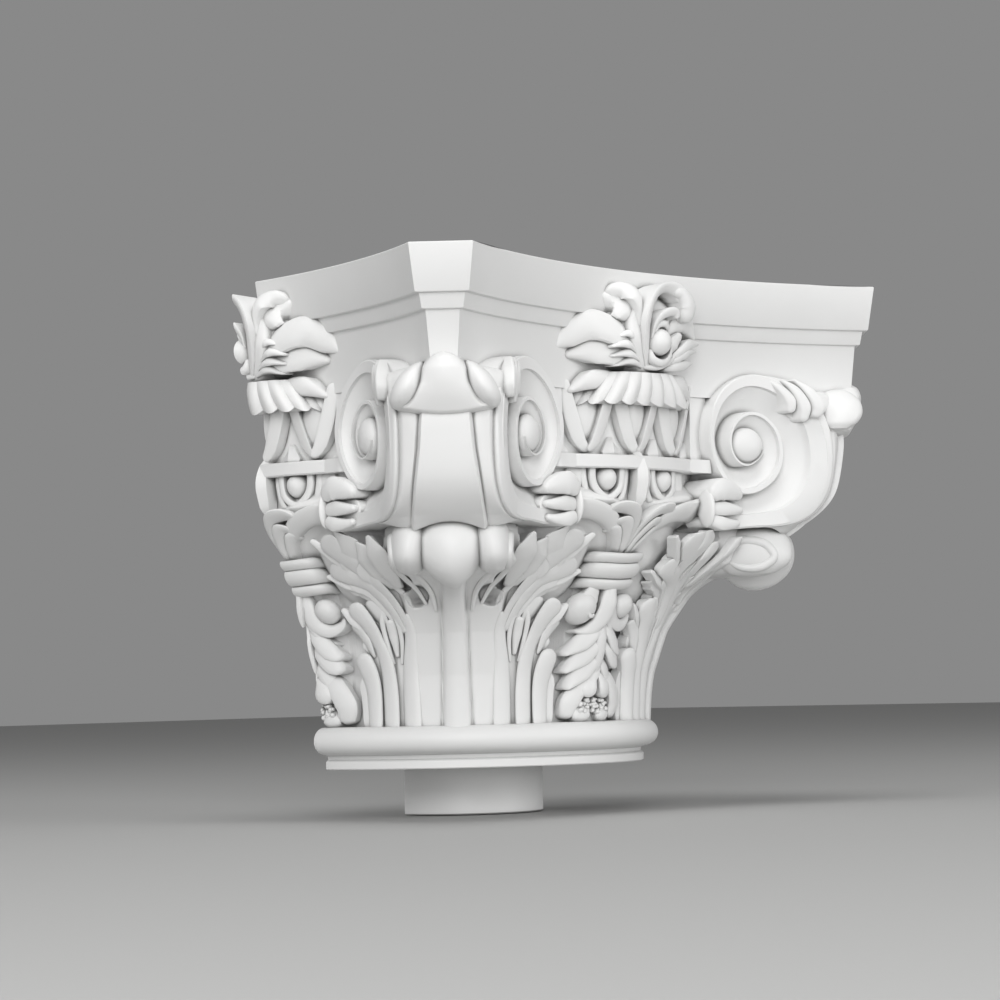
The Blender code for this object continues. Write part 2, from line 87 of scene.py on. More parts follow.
# Abacus from its underside up: level, and how far the outline has drawn in from the top one
ABACUS_STEPS = (
    (221.0, 15.95),
    (255.2, 12.4),
    (255.7, 12.1),
    (256.1, 9.7),
    (256.7, 9.2),
    (264.0, 7.7),
    (264.5, 7.4),
    (264.9, 4.7),
    (265.5, 4.2),
    (291.4, 0.1),
    (HEIGHT, 0.7),
)

# Scroll: centre of its eye, and outer edge as degrees wound from the foot and distance off it
SCROLL_EYE = (96.0, 193.0)
SCROLL_WOUND = (-30, 0, 37, 84, 130, 177, 215, 247, 300, 345, 390, 441, 490, 537, 605, 692, 740, 791)
SCROLL_REACH = (59.5, 51.5, 55, 46.5, 44, 43, 38, 34, 31, 32, 27, 20.5, 19.5, 20, 16.5, 15, 11, 8.5)
SCROLL_PLACES = 600
RIM_SHARE = 0.42
CHANNEL_DEPTH = 11.0
SCROLL_FLOOR = -34.0

# Curved face that the scrolls stand on: distance in front of the axis, and its flare outwards
SCROLL_FACE = 158.0
SCROLL_FLARE = 0.00425
SCROLL_FLARE_START = 60.0

# Line cut round a carved form: gap to the form and half width
MOAT_START = 0.4
MOAT_REACH = 1.5

# How far past its edge a carved form can change the ground
EDGE_REACH = 7.0

# Least height of the wall round a free-standing plate
PLATE_RIM = 0.4

# Fineness of swept shells: places read off a strap's curve, degrees of the rings in its round
# ends, points across its top, and points round a cord or a tube
STRAP_PLACES = 160
ROUND_END = (15, 35, 55, 75, 90)
STRAP_ACROSS = 9
STRAND_SIDES = 16

# How near the back, in metres, a corner counts as lying on it
ON_BACK = 1e-6

# Slack in degrees when a drum is cut into sectors
TURN_SLACK = 1e-6

# How many faces are enough to tell which way a shell is turned
FACES_READ = 60000

# Front between the scrolls of a corner: degrees round the scroll's outline, distance from the
# axis on the diagonal and level of its middle line
CORNER_FRONT = (
    (-6.0, 203.0, 141.0),
    (0.0, 207.0, 141.0),
    (15.0, 217.0, 144.0),
    (30.0, 227.0, 151.0),
    (45.0, 234.5, 159.0),
    (60.0, 239.0, 168.5),
    (84.0, 242.5, 185.0),
    (105.0, 243.5, 199.0),
    (125.0, 240.5, 213.0),
    (145.0, 233.0, 224.0),
    (165.0, 221.0, 230.5),
    (180.0, 209.0, 232.5),
    (196.0, 194.0, 231.0),
)


class Form(Enum):
    """Cross-section of a carved stroke."""

    ROUND = "round"
    KEEL = "keel"
    FLAT = "flat"

    def rise(self, share: Points) -> Points:
        """Height across the stroke.

        Args:
            share: 0 on the stroke's middle line and 1 at its edge.
        Returns:
            1 where the form is highest and about 0 where it is lowest.
        """
        if self is Form.ROUND:
            return np.sqrt(1 - share**2)
        if self is Form.KEEL:
            return 1 - share
        return np.sqrt(1 - share**6)


def smooth(knots: Knots, count: int) -> Points:
    """Catmull-Rom curve through the knots.

    Args:
        knots: points that the curve goes through.
        count: how many evenly spaced places are read off.
    Returns:
        The places, one row each.
    """
    knots = np.asarray(knots, float)
    if len(knots) == 2:
        return knots[0] + np.linspace(0, 1, count)[:, None] * (knots[1] - knots[0])
    knots = np.concatenate([[2 * knots[0] - knots[1]], knots, [2 * knots[-1] - knots[-2]]])
    place = np.linspace(0, len(knots) - 3, count)
    i = np.minimum(place.astype(int), len(knots) - 4)
    t = (place - i)[:, None]
    a, b, c, d = knots[i], knots[i + 1], knots[i + 2], knots[i + 3]
    square, cube = 2 * a - 5 * b + 4 * c - d, 3 * b - a - 3 * c + d
    return 0.5 * (2 * b + (c - a) * t + square * t**2 + cube * t**3)


def spread(values: float | Sequence[float], count: int) -> Points:
    """A few values stretched evenly over count places."""
    values = np.atleast_1d(np.asarray(values, float))
    return np.interp(np.linspace(0, 1, count), np.linspace(0, 1, len(values)), values)


def sided(side: int, knots: Knots) -> list:
    """Knots written for the side at +u, turned over to the other one where side is -1."""
    return [(side * knot[0], *knot[1:]) for knot in knots]


def bell_radius(level: Points) -> Points:
    """Radius of the bell's wall at a level."""
    return np.interp(level, [p[0] for p in BELL_OUTLINE], [p[1] for p in BELL_OUTLINE])


def polar(radius: Points, turn: Points, level: Points) -> Points:
    """Point at a radius and level; turn is 0 at the middle of the front and grows towards +X."""
    return np.stack([radius * np.sin(turn), -radius * np.cos(turn), level + 0 * turn], -1)


def on_face(p: Points) -> Points:
    """u across the front face, v level, w distance in front of the axis."""
    return np.stack([p[..., 0], -p[..., 2], p[..., 1]], -1)


def on_corner(p: Points) -> Points:
    """u across the corner, v level, w distance from the axis on the diagonal at +X, -Y."""
    out, side = p[..., 2] / 2**0.5, p[..., 0] / 2**0.5
    return np.stack([out - side, -out - side, p[..., 1]], -1)


def on_volute(p: Points) -> Points:
    """u across the front face, v level, w off the scroll's curved face."""
    front = SCROLL_FACE + SCROLL_FLARE * np.clip(p[..., 0] - SCROLL_FLARE_START, 0, None) ** 2
    return np.stack([p[..., 0], -front - p[..., 2], p[..., 1]], -1)


def on_bell(p: Points) -> Points:
    """u along the bell's wall, v level, w off the wall, about the face's middle."""
    radius = bell_radius(p[..., 1])
    return polar(radius + p[..., 2], p[..., 0] / radius, p[..., 1])


def on_leaf(p: Points, side: int) -> Points:
    """Like on_bell about the diagonal at +X, -Y; side is the half that u runs into."""
    radius = bell_radius(p[..., 1])
    return polar(radius + p[..., 2], np.pi / 4 + side * p[..., 0] / radius, p[..., 1])


def mirror_x(p: Points) -> Points:
    """Across the plane x = 0, from the right corner to the left one."""
    return p * np.array([-1.0, 1.0, 1.0])


def to_right_face(p: Points) -> Points:
    """Mirrors the front face onto the one at +X, across the corner between."""
    return np.stack([-p[..., 1], -p[..., 0], p[..., 2]], -1)


def to_left_face(p: Points) -> Points:
    """Mirrors the front face onto the one at -X, across the corner between."""
    return np.stack([p[..., 1], p[..., 0], p[..., 2]], -1)


@dataclass
class Shell:
    """Closed surface as points and faces."""

    points: Points
    faces: list

    def facing_out(self) -> "Shell":
        """Turns all faces round if the shell encloses a negative volume.

        Volume = sum, over the triangles that fan out from each face's first corner, of the
        volume they enclose with the middle. On a large shell only every few faces are read.

        Returns:
            The shell itself or its turned copy.
        """
        read = self.faces[:: max(1, len(self.faces) // FACES_READ)]
        fans = [(face[0], face[k], face[k + 1]) for face in read for k in range(1, len(face) - 1)]
        a, b, c = (self.points[[fan[k] for fan in fans]] for k in range(3))
        middle = self.points.mean(0)
        volume = np.einsum("ij,ij->", a - middle, np.cross(b - middle, c - middle))
        if volume < 0:
            return Shell(self.points, [tuple(reversed(face)) for face in self.faces])
        return self

    def placed(self, change: Place) -> "Shell":
        """A copy with every point put through a function."""
        return Shell(change(self.points), self.faces).facing_out()


def joined(shells: Sequence[Shell]) -> Shell:
    """Several shells as one.

    Args:
        shells: closed shells, which may overlap.
    Returns:
        One shell with the points and faces of all.
    """
    start, points, faces = 0, [], []
    for shell in shells:
        points.append(shell.points)
        faces += [tuple(int(i) + start for i in face) for face in shell.faces]
        start += len(shell.points)
    return Shell(np.concatenate(points), faces)


def grid_faces(rows: int, columns: int) -> Points:
    """Quads of a grid whose points are numbered row by row."""
    first = (np.arange(rows - 1)[:, None] * columns + np.arange(columns - 1)).ravel()
    return np.stack([first, first + 1, first + columns + 1, first + columns], -1)


def rings_shell(rings: Points, first: Points | None = None, last: Points | None = None) -> Shell:
    """Closed shell over a stack of closed loops, with a point at each end.

    Args:
        rings: loops by points by 3.
        first, last: end points, otherwise the mean of the end loop.
    Returns:
        The shell, facing out.
    """
    rings = np.asarray(rings, float)
    count, around = rings.shape[:2]
    first = rings[0].mean(0) if first is None else np.asarray(first, float)
    last = rings[-1].mean(0) if last is None else np.asarray(last, float)
    points = np.concatenate([rings.reshape(-1, 3), [first], [last]])
    low = np.arange(around)
    high = (low + 1) % around
    faces = []
    for level in range(count - 1):
        here, above = level * around, (level + 1) * around
        faces += np.stack([here + low, here + high, above + high, above + low], -1).tolist()
    top = (count - 1) * around
    faces += np.stack([high, low, low * 0 + count * around], -1).tolist()
    faces += np.stack([top + low, top + high, low * 0 + count * around + 1], -1).tolist()
    return Shell(points, faces).facing_out()


def bulb(rows: Knots, foot: Sequence[float], around: int = 48, levels: int = 30) -> Shell:
    """Smooth swollen solid through level ovals.

    Point = the oval's middle + half width x cosine in u + half depth x sine in w.

    Args:
        rows: u, v and w of an oval's middle, its half width in u and its half depth in w.
        foot: end point past the last oval.
        around: points round an oval.
        levels: ovals read off the curve through the rows.
    Returns:
        The shell over u, v, w.
    """
    rows = smooth(rows, levels)
    angle = np.linspace(0, 2 * np.pi, around, endpoint=False)
    width, depth = rows[:, 3:4], rows[:, 4:5]
    ovals = np.stack([width * np.cos(angle), 0 * width * angle, depth * np.sin(angle)], -1)
    return rings_shell(rows[:, None, :3] + ovals, None, foot)


def ball(
    centre: Sequence[float],
    radii: Sequence[float],
    tilt: float = 0.0,
    around: int = 30,
    levels: int = 18,
) -> Shell:
    """Egg about a centre.

    Point = centre + half sizes x the place on a round ball, turned across u and v.

    Args:
        centre: u, v and w of the middle.
        radii: half sizes in u, v and w.
        tilt: degrees that the egg is turned anticlockwise.
        around: points round a ring.
        levels: rings between the two ends.
    Returns:
        The shell over u, v, w.
    """
    pole = np.linspace(0, np.pi, levels + 2)[1:-1, None]
    angle = np.linspace(0, 2 * np.pi, around, endpoint=False)
    u, v = radii[0] * np.sin(pole) * np.cos(angle), radii[1] * np.cos(pole) + 0 * angle
    w = radii[2] * np.sin(pole) * np.sin(angle)
    turn = np.radians(tilt)
    p = np.stack([u * np.cos(turn) - v * np.sin(turn), u * np.sin(turn) + v * np.cos(turn), w], -1)
    end = np.array([-radii[1] * np.sin(turn), radii[1] * np.cos(turn), 0])
    return rings_shell(centre + p, centre + end, centre - end)


def strap(
    knots: Knots,
    half: float | Sequence[float],
    rise: float | Sequence[float],
    form: Form = Form.ROUND,
    lean: float = 0.0,
    depth: float = 8.0,
    count: int = 22,
    tuck: float = 0.75,
) -> Shell:
    """Leaf strip as a closed body swept along a curve, with round ends.

    Its top = height of the curve + rise x cross-section + lean x share across. Its walls go
    down by depth and draw in to the tuck share of the width.

    Args:
        knots: points u, v, w of the curve, w being the height of the strip's edge.
        half: half width along the curve.
        rise: height of the middle over the edge along the curve.
        form: cross-section.
        lean: how much higher the left edge is than the middle.
        depth: height of the walls.
        count: rings between the round ends.
        tuck: width at the foot as a share of the width at the edge.
    Returns:
        The shell over u, v, w.
    """
    fine = smooth(knots, STRAP_PLACES)
    run = np.concatenate([[0.0], np.cumsum(np.linalg.norm(np.diff(fine, axis=0), axis=1))])
    half, rise = spread(half, STRAP_PLACES), spread(rise, STRAP_PLACES)
    turn = np.radians(ROUND_END)
    first, last = min(half[0], run[-1] / 3), min(half[-1], run[-1] / 3)
    start, end = first * (1 - np.cos(turn)), (run[-1] - last * (1 - np.cos(turn)))[::-1]
    at = np.concatenate([start, np.linspace(first, run[-1] - last, count)[1:-1], end])
    rounded = np.concatenate([np.sin(turn), np.ones(count - 2), np.sin(turn)[::-1]])[:, None]
    axis = np.stack([np.interp(at, run, fine[:, k]) for k in range(3)], -1)
    heading = np.gradient(axis[:, :2], axis=0)
    heading /= np.maximum(np.linalg.norm(heading, axis=1, keepdims=True), 1e-9)
    share = np.cos(np.linspace(np.pi, 0, STRAP_ACROSS))
    swell = np.interp(at, run, rise)[:, None] * rounded * form.rise(np.abs(share))
    top = axis[:, 2:] + swell + lean * share * rounded
    foot = axis[:, 2:] - depth + np.zeros((1, 2))
    across = np.concatenate([share, [tuck, -tuck]]) * np.interp(at, run, half)[:, None] * rounded
    u, v = axis[:, :1] - heading[:, 1:] * across, axis[:, 1:2] + heading[:, :1] * across
    return rings_shell(np.stack([u, v, np.concatenate([top, foot], axis=1)], -1))


def cord(knots: Knots, half: float, thick: float, count: int = 48) -> Shell:
    """Level band of oval section bent round a form.

    Point = place on the curve + half height x cosine in v + half thickness x sine across the
    curve's heading in u and w.

    Args:
        knots: points u, v, w of the curve.
        half: half height.
        thick: half thickness.
        count: rings along the curve.
    Returns:
        The shell over u, v, w.
    """
    axis = smooth(knots, count)
    heading = np.gradient(axis[:, [0, 2]], axis=0)
    heading /= np.linalg.norm(heading, axis=1, keepdims=True)
    angle = np.linspace(0, 2 * np.pi, STRAND_SIDES, endpoint=False)
    points = [
        axis[:, :1] - heading[:, 1:] * thick * np.sin(angle),
        axis[:, 1:2] + half * np.cos(angle),
        axis[:, 2:] + heading[:, :1] * thick * np.sin(angle),
    ]
    return rings_shell(np.stack(points, -1))


def tube(knots: Knots, half: float | Sequence[float], count: int = 60) -> Shell:
    """Round strand along a curve that runs in v and w.

    Point = place on the curve + half thickness x cosine in u + half thickness x sine across the
    curve's heading in v and w.

    Args:
        knots: points u, v, w of the curve.
        half: half thickness along the curve.
        count: rings along the curve.
    Returns:
        The shell over u, v, w.
    """
    axis = smooth(knots, count)
    heading = np.gradient(axis[:, 1:], axis=0)
    heading /= np.linalg.norm(heading, axis=1, keepdims=True)
    angle = np.linspace(0, 2 * np.pi, STRAND_SIDES, endpoint=False)
    size = spread(half, count)[:, None]
    points = [
        axis[:, :1] + size * np.cos(angle),
        axis[:, 1:2] - heading[:, 1:] * size * np.sin(angle),
        axis[:, 2:] + heading[:, :1] * size * np.sin(angle),
    ]
    return rings_shell(np.stack(points, -1))


@dataclass
class Relief:
    """Height field over a grid: u across and v up in mm, w the carved height off the ground."""

    u: Points
    v: Points
    w: Points

    def around(self, u: Points) -> "Relief":
        """The same field with u measured from another middle line."""
        return Relief(u, self.v, self.w)

    def stroke(
        self,
        knots: Knots,
        half: float | Sequence[float],
        rise: float | Sequence[float],
        form: Form = Form.ROUND,
        steep: float = 6.0,
        count: int = 22,
        moat: float = 0.0,
    ) -> None:
        """Raises a strip along a curve.

        Height = the curve's own height + rise x cross-section, and beyond the strip's edge it
        falls by steep x distance. The field keeps the larger value.

        Args:
            knots: points u, v, w of the curve, w being the height of the strip's edge.
            half: half width along the curve.
            rise: height of the middle over the edge along the curve.
            form: cross-section.
            steep: slope of the sides.
            count: places read off the curve.
            moat: depth of the line cut round the strip into what lies under it.
        """
        path = smooth(knots, count)
        half, rise = spread(half, count), spread(rise, count)
        reach = half.max() + EDGE_REACH
        low, high = path[:, :2].min(0) - reach, path[:, :2].max(0) + reach
        near = (self.u > low[0]) & (self.u < high[0]) & (self.v > low[1]) & (self.v < high[1])
        if not near.any():
            return
        p = np.stack([self.u[near], self.v[near]], -1)
        start = path[:-1, :2]
        step = path[1:, :2] - start
        gap = p[:, None] - start
        t = np.clip((gap * step).sum(-1) / np.maximum((step * step).sum(-1), 1e-9), 0, 1)
        gap -= t[..., None] * step
        far = (gap * gap).sum(-1)
        best = far.argmin(1)
        rows = np.arange(len(p))
        place = best + t[rows, best]
        off = np.sqrt(far[rows, best])
        at = np.arange(count)
        width = np.interp(place, at, half)
        share = np.clip(off / width, 0, 1)
        height = np.interp(place, at, path[:, 2]) + np.interp(place, at, rise) * form.rise(share)
        height -= steep * np.maximum(off - width, 0)
        line = np.clip(1 - ((off - width - MOAT_START) / MOAT_REACH) ** 2, 0, 1)
        self.w[near] = np.maximum(self.w[near] - moat * line, height)

    def dome(
        self,
        centre: Sequence[float],
        radii: Sequence[float],
        steep: float = 6.0,
        moat: float = 0.0,
    ) -> None:
        """Raises half an egg: height = rim's height + egg's height x root of (1 - share squared).

        Args:
            centre: u, v and the height of the egg's rim.
            radii: half sizes in u, v and the height over the rim.
            steep: slope of the sides under the rim.
            moat: depth of the line cut round the egg.
        """
        share = np.hypot((self.u - centre[0]) / radii[0], (self.v - centre[1]) / radii[1])
        off = (share - 1) * min(radii[:2])
        height = centre[2] + radii[2] * np.sqrt(np.clip(1 - share**2, 0, 1))
        height -= steep * np.maximum(off, 0)
        self.w -= moat * np.clip(1 - ((off - MOAT_START) / MOAT_REACH) ** 2, 0, 1)
        np.maximum(self.w, height, out=self.w)

    def groove(self, knots: Knots, half: float, depth: float, count: int = 22) -> None:
        """Sinks a line along a curve: depth x (1 - share of the half width squared).

        Args:
            knots: points u, v of the curve.
            half: half width.
            depth: depth on the middle line.
            count: places read off the curve.
        """
        path = smooth(knots, count)
        low, high = path.min(0) - 2 * half, path.max(0) + 2 * half
        near = (self.u > low[0]) & (self.u < high[0]) & (self.v > low[1]) & (self.v < high[1])
        gap = np.stack([self.u[near], self.v[near]], -1)[:, None] - path
        share = np.sqrt((gap * gap).sum(-1).min(1)) / half
        self.w[near] -= depth * np.clip(1 - share**2, 0, 1)

    def pit(self, centre: Sequence[float], radii: Sequence[float], tilt: float = 0.0) -> None:
        """Sinks an egg-shaped hollow: depth x (1 - share of the egg to the power 4).

        Args:
            centre: u and v of the middle.
            radii: half sizes in u and v, and the depth.
            tilt: degrees that the hollow is turned anticlockwise.
        """
        turn = np.radians(tilt)
        du, dv = self.u - centre[0], self.v - centre[1]
        across = (du * np.cos(turn) + dv * np.sin(turn)) / radii[0]
        along = (dv * np.cos(turn) - du * np.sin(turn)) / radii[1]
        self.w -= radii[2] * np.clip(1 - (across**2 + along**2) ** 2, 0, 1)

    def soften(self, passes: int = 1) -> None:
        """Rounds edges a little: a point becomes half itself and a quarter of each neighbour.

        Args:
            passes: how many times that is done along u and along v.
        """
        for _ in range(passes):
            for axis in (0, 1):
                edge = [(1, 1) if axis == k else (0, 0) for k in (0, 1)]
                wide = np.pad(self.w, edge, mode="edge")
                low, high = (wide[:-2], wide[2:]) if axis == 0 else (wide[:, :-2], wide[:, 2:])
                self.w[:] = 0.5 * self.w + 0.25 * (low + high)

    def plate(self, floor: float) -> Shell:
        """Free-standing plate over what rises above the floor.

        The front is the carved height, the back lies on the floor, and a low wall joins them
        round the outline.

        Args:
            floor: height of the back.
        Returns:
            The closed shell over u, v, w.
        """
        rows, columns = self.w.shape
        front = np.maximum(self.w, floor + PLATE_RIM)
        high = self.w > floor + PLATE_RIM
        kept = high[:-1, :-1] | high[1:, :-1] | high[:-1, 1:] | high[1:, 1:]
        quads = grid_faces(rows, columns)[kept.ravel()]
        total = rows * columns
        edges = np.concatenate([quads[:, [k, (k + 1) % 4]] for k in range(4)])
        codes = edges[:, 0].astype(np.int64) * total + edges[:, 1]
        border = edges[~np.isin(codes, edges[:, 1].astype(np.int64) * total + edges[:, 0])]
        walls = np.stack([border[:, 1], border[:, 0], border[:, 0] + total, border[:, 1] + total], -1)
        faces = np.concatenate([quads, quads[:, ::-1] + total, walls])
        levels = (front, 0 * front + floor)
        points = np.concatenate([np.stack([self.u, self.v, w], -1).reshape(-1, 3) for w in levels])
        used = np.unique(faces)
        number = np.zeros(2 * total, int)
        number[used] = np.arange(len(used))
        return Shell(points[used], number[faces].tolist()).facing_out()


def sector(front: Points, back: float) -> Shell:
    """Closed block behind a carved grid on the drum.

    Args:
        front: rows by columns of points in space.
        back: radius of the block's two back edges.
    Returns:
        The block: carved front, two side walls, a flat strip behind and two end faces.
    """
    rows, columns = front.shape[:2]
    total = rows * columns
    quads = grid_faces(rows, columns).tolist()
    sides = front[:, [0, -1]].copy()
    sides[..., :2] *= back / np.linalg.norm(sides[..., :2], axis=-1, keepdims=True)
    points = np.concatenate([front.reshape(-1, 3), sides.reshape(-1, 3)])
    left, right = total + 2 * np.arange(rows), total + 2 * np.arange(rows) + 1
    here = np.arange(rows) * columns
    for k in range(rows - 1):
        quads.append((here[k + 1], left[k + 1], left[k], here[k]))
        quads.append((here[k] + columns - 1, right[k], right[k + 1], here[k + 1] + columns - 1))
        quads.append((right[k], left[k], left[k + 1], right[k + 1]))
    quads.append((*range(columns - 1, -1, -1), left[0], right[0]))
    quads.append((*range(total - columns, total), right[-1], left[-1]))
    return Shell(points, [tuple(map(int, face)) for face in quads]).facing_out()


@dataclass(frozen=True)
class CastingFinish:
    """Matt white moulded casting with a faint unevenness in colour, gloss and surface, and painted shade
    darkening its crevices.
    """

    colour: tuple = (0.80, 0.80, 0.795)
    shade: tuple = (0.755, 0.755, 0.75)
    # painted shade: the dark tone that crevices ease to where little open sky lies near, its reach in mm,
    # its samples, and the open-sky shares for full shade and for none
    painted_crevice_shade: tuple = (0.27, 0.27, 0.265)
    painted_shade_reach_mm: float = 5.0
    painted_shade_samples: int = 6
    painted_shade_deep_share: float = 0.2
    painted_shade_open_share: float = 0.72
    cloud_scale: float = 28.0
    cloud_detail: float = 3.0
    grain_mm: float = 2.2
    grain_detail: float = 4.0
    roughness: float = 0.5
    roughness_spread: float = 0.08
    bump_mm: float = 0.05
    bump_strength: float = 0.35

    def material(self) -> bpy.types.Material:
        """Builds the procedural material.

        Colour = clouds between shade and colour, easing to the dark tone of painted shade where the share
        of open sky within the painted shade's reach falls from its open share to its deep share. Roughness
        and bump follow a fine grain. All noise reads Object coordinates.

        Returns:
            The material.
        """
        made = bpy.data.materials.new("white_casting")
        made.use_nodes = True
        nodes, links = made.node_tree.nodes, made.node_tree.links
        shader = nodes["Principled BSDF"]
        shader.inputs["Metallic"].default_value = 0.0
        place = nodes.new("ShaderNodeTexCoord")

        def noise(scale: float, detail: float) -> bpy.types.Node:
            """Adds a noise pattern on Object coordinates.

            Args:
                scale: how many grains lie in a metre.
                detail: how many finer layers it has.
            Returns:
                The noise node.
            """
            node = nodes.new("ShaderNodeTexNoise")
            node.inputs["Scale"].default_value = scale
            node.inputs["Detail"].default_value = detail
            links.new(place.outputs["Object"], node.inputs["Vector"])
            return node

        def mix(
            factor: bpy.types.NodeSocket,
            low: tuple,
            high: tuple | bpy.types.NodeSocket,
        ) -> bpy.types.NodeSocket:
            """Adds a blend of two colours.

            Args:
                factor: socket with the share of the second colour.
                low: first colour.
                high: second colour, or the socket that gives it.
            Returns:
                The socket with the blend.
            """
            node = nodes.new("ShaderNodeMix")
            node.data_type = "RGBA"
            node.inputs["A"].default_value = (*low, 1)
            links.new(factor, node.inputs["Factor"])
            if isinstance(high, tuple):
                node.inputs["B"].default_value = (*high, 1)
            else:
                links.new(high, node.inputs["B"])
            return node.outputs["Result"]

        clouds = noise(self.cloud_scale, self.cloud_detail)
        grain = noise(1 / (self.grain_mm * MM), self.grain_detail)
        # painted shade in crevices: ambient occlusion blends the colour towards the dark crevice tone
        near = nodes.new("ShaderNodeAmbientOcclusion")
        near.samples = self.painted_shade_samples
        near.inputs["Distance"].default_value = self.painted_shade_reach_mm * MM
        sky = nodes.new("ShaderNodeMapRange")
        sky.inputs["From Min"].default_value = self.painted_shade_deep_share
        sky.inputs["From Max"].default_value = self.painted_shade_open_share
        links.new(near.outputs["AO"], sky.inputs["Value"])
        plain = mix(clouds.outputs["Fac"], self.shade, self.colour)
        links.new(mix(sky.outputs["Result"], self.painted_crevice_shade, plain), shader.inputs["Base Color"])
        rough = nodes.new("ShaderNodeMapRange")
        rough.inputs["To Min"].default_value = self.roughness - self.roughness_spread
        rough.inputs["To Max"].default_value = self.roughness + self.roughness_spread
        links.new(grain.outputs["Fac"], rough.inputs["Value"])
        links.new(rough.outputs["Result"], shader.inputs["Roughness"])
        bump = nodes.new("ShaderNodeBump")
        bump.inputs["Strength"].default_value = self.bump_strength
        bump.inputs["Distance"].default_value = self.bump_mm * MM
        links.new(grain.outputs["Fac"], bump.inputs["Height"])
        links.new(bump.outputs["Normal"], shader.inputs["Normal"])
        return made


@dataclass
class Casting:
    """What every visible piece is made with: its finish and how its mesh is handed over.

    crisp is the angle in degrees past which an edge stays sharp, room the half size of the box
    that cuts the flat back, and body_step how much further in each cut face lies, both in mm.
    """

    material: bpy.types.Material
    crisp: float = 32.0
    room: float = 400.0
    body_step: float = 0.015

    def piece(self, name: str, shell: Shell) -> bpy.types.Object:
        """Makes a visible piece that stands for the solid.

        Args:
            name: the object's name.
            shell: closed surface in millimetres.
        Returns:
            The linked object, riding on the body.
        """
        mesh = bpy.data.meshes.new(name)
        mesh.from_pydata((shell.points * MM).tolist(), [], shell.faces)
        mesh.materials.append(self.material)
        mesh.polygons.foreach_set("use_smooth", [True] * len(mesh.polygons))
        mesh.update()
        mesh.set_sharp_from_angle(angle=np.radians(self.crisp))
        made = bpy.data.objects.new(name, mesh)
        bpy.context.scene.collection.objects.link(made)
        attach(made, "root")
        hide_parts("capital")
        return made

    def half_piece(self, name: str, shell: Shell, first: float) -> bpy.types.Object:
        """Makes a visible piece and cuts away what lies behind the flat back.

        Args:
            name: the object's name.
            shell: closed surface in millimetres that crosses the plane y = 0.
            first: how far in its first cut face goes, in millimetres.
        Returns:
            The linked object with its cut mesh.
        """
        made = self.piece(name, shell)
        reach = self.room * MM
        corners = [(x, y, z) for x in (-reach, reach) for y in (0, reach) for z in (-reach, reach)]
        faces = [(0, 1, 3, 2), (4, 6, 7, 5), (0, 4, 5, 1), (2, 3, 7, 6), (0, 2, 6, 4), (1, 5, 7, 3)]
        mesh = bpy.data.meshes.new("room behind")
        mesh.from_pydata(corners, [], faces)
        behind = bpy.data.objects.new("room behind", mesh)
        bpy.context.scene.collection.objects.link(behind)
        step = made.modifiers.new("flat back", "BOOLEAN")
        step.operation = "DIFFERENCE"
        step.solver = "MANIFOLD"
        step.object = behind
        graph = bpy.context.evaluated_depsgraph_get()
        made.data = bpy.data.meshes.new_from_object(made.evaluated_get(graph), depsgraph=graph)
        made.modifiers.clear()
        bpy.data.objects.remove(behind)
        self.part_cut_faces(made.data, first)
        made.data.set_sharp_from_angle(angle=np.radians(self.crisp))
        return made

    def part_cut_faces(self, mesh: bpy.types.Mesh, first: float) -> None:
        """Sets the cut face of each loose body a hair further in than the last one's.

        Bodies overlap, so their cut faces would otherwise lie in one plane. A body is found by
        passing its lowest corner number along the edges until nothing changes.

        Args:
            mesh: cut mesh.
            first: how far in the first cut face goes, in millimetres.
        """
        at = np.empty(3 * len(mesh.vertices), np.float32)
        mesh.vertices.foreach_get("co", at)
        at = at.reshape(-1, 3)
        ends = np.empty(2 * len(mesh.edges), np.int32)
        mesh.edges.foreach_get("vertices", ends)
        ends = ends.reshape(-1, 2)
        body, lowest = np.full(len(at), -1), np.arange(len(at))
        while not np.array_equal(body, lowest):
            body = lowest
            lowest = body.copy()
            np.minimum.at(lowest, ends[:, 0], body[ends[:, 1]])
            np.minimum.at(lowest, ends[:, 1], body[ends[:, 0]])
            lowest = lowest[lowest]
        cut = at[:, 1] > -ON_BACK
        number = np.unique(body[cut], return_inverse=True)[1].ravel()
        at[cut, 1] -= (first + self.body_step * number) * MM
        mesh.vertices.foreach_set("co", at.ravel())
        mesh.update()


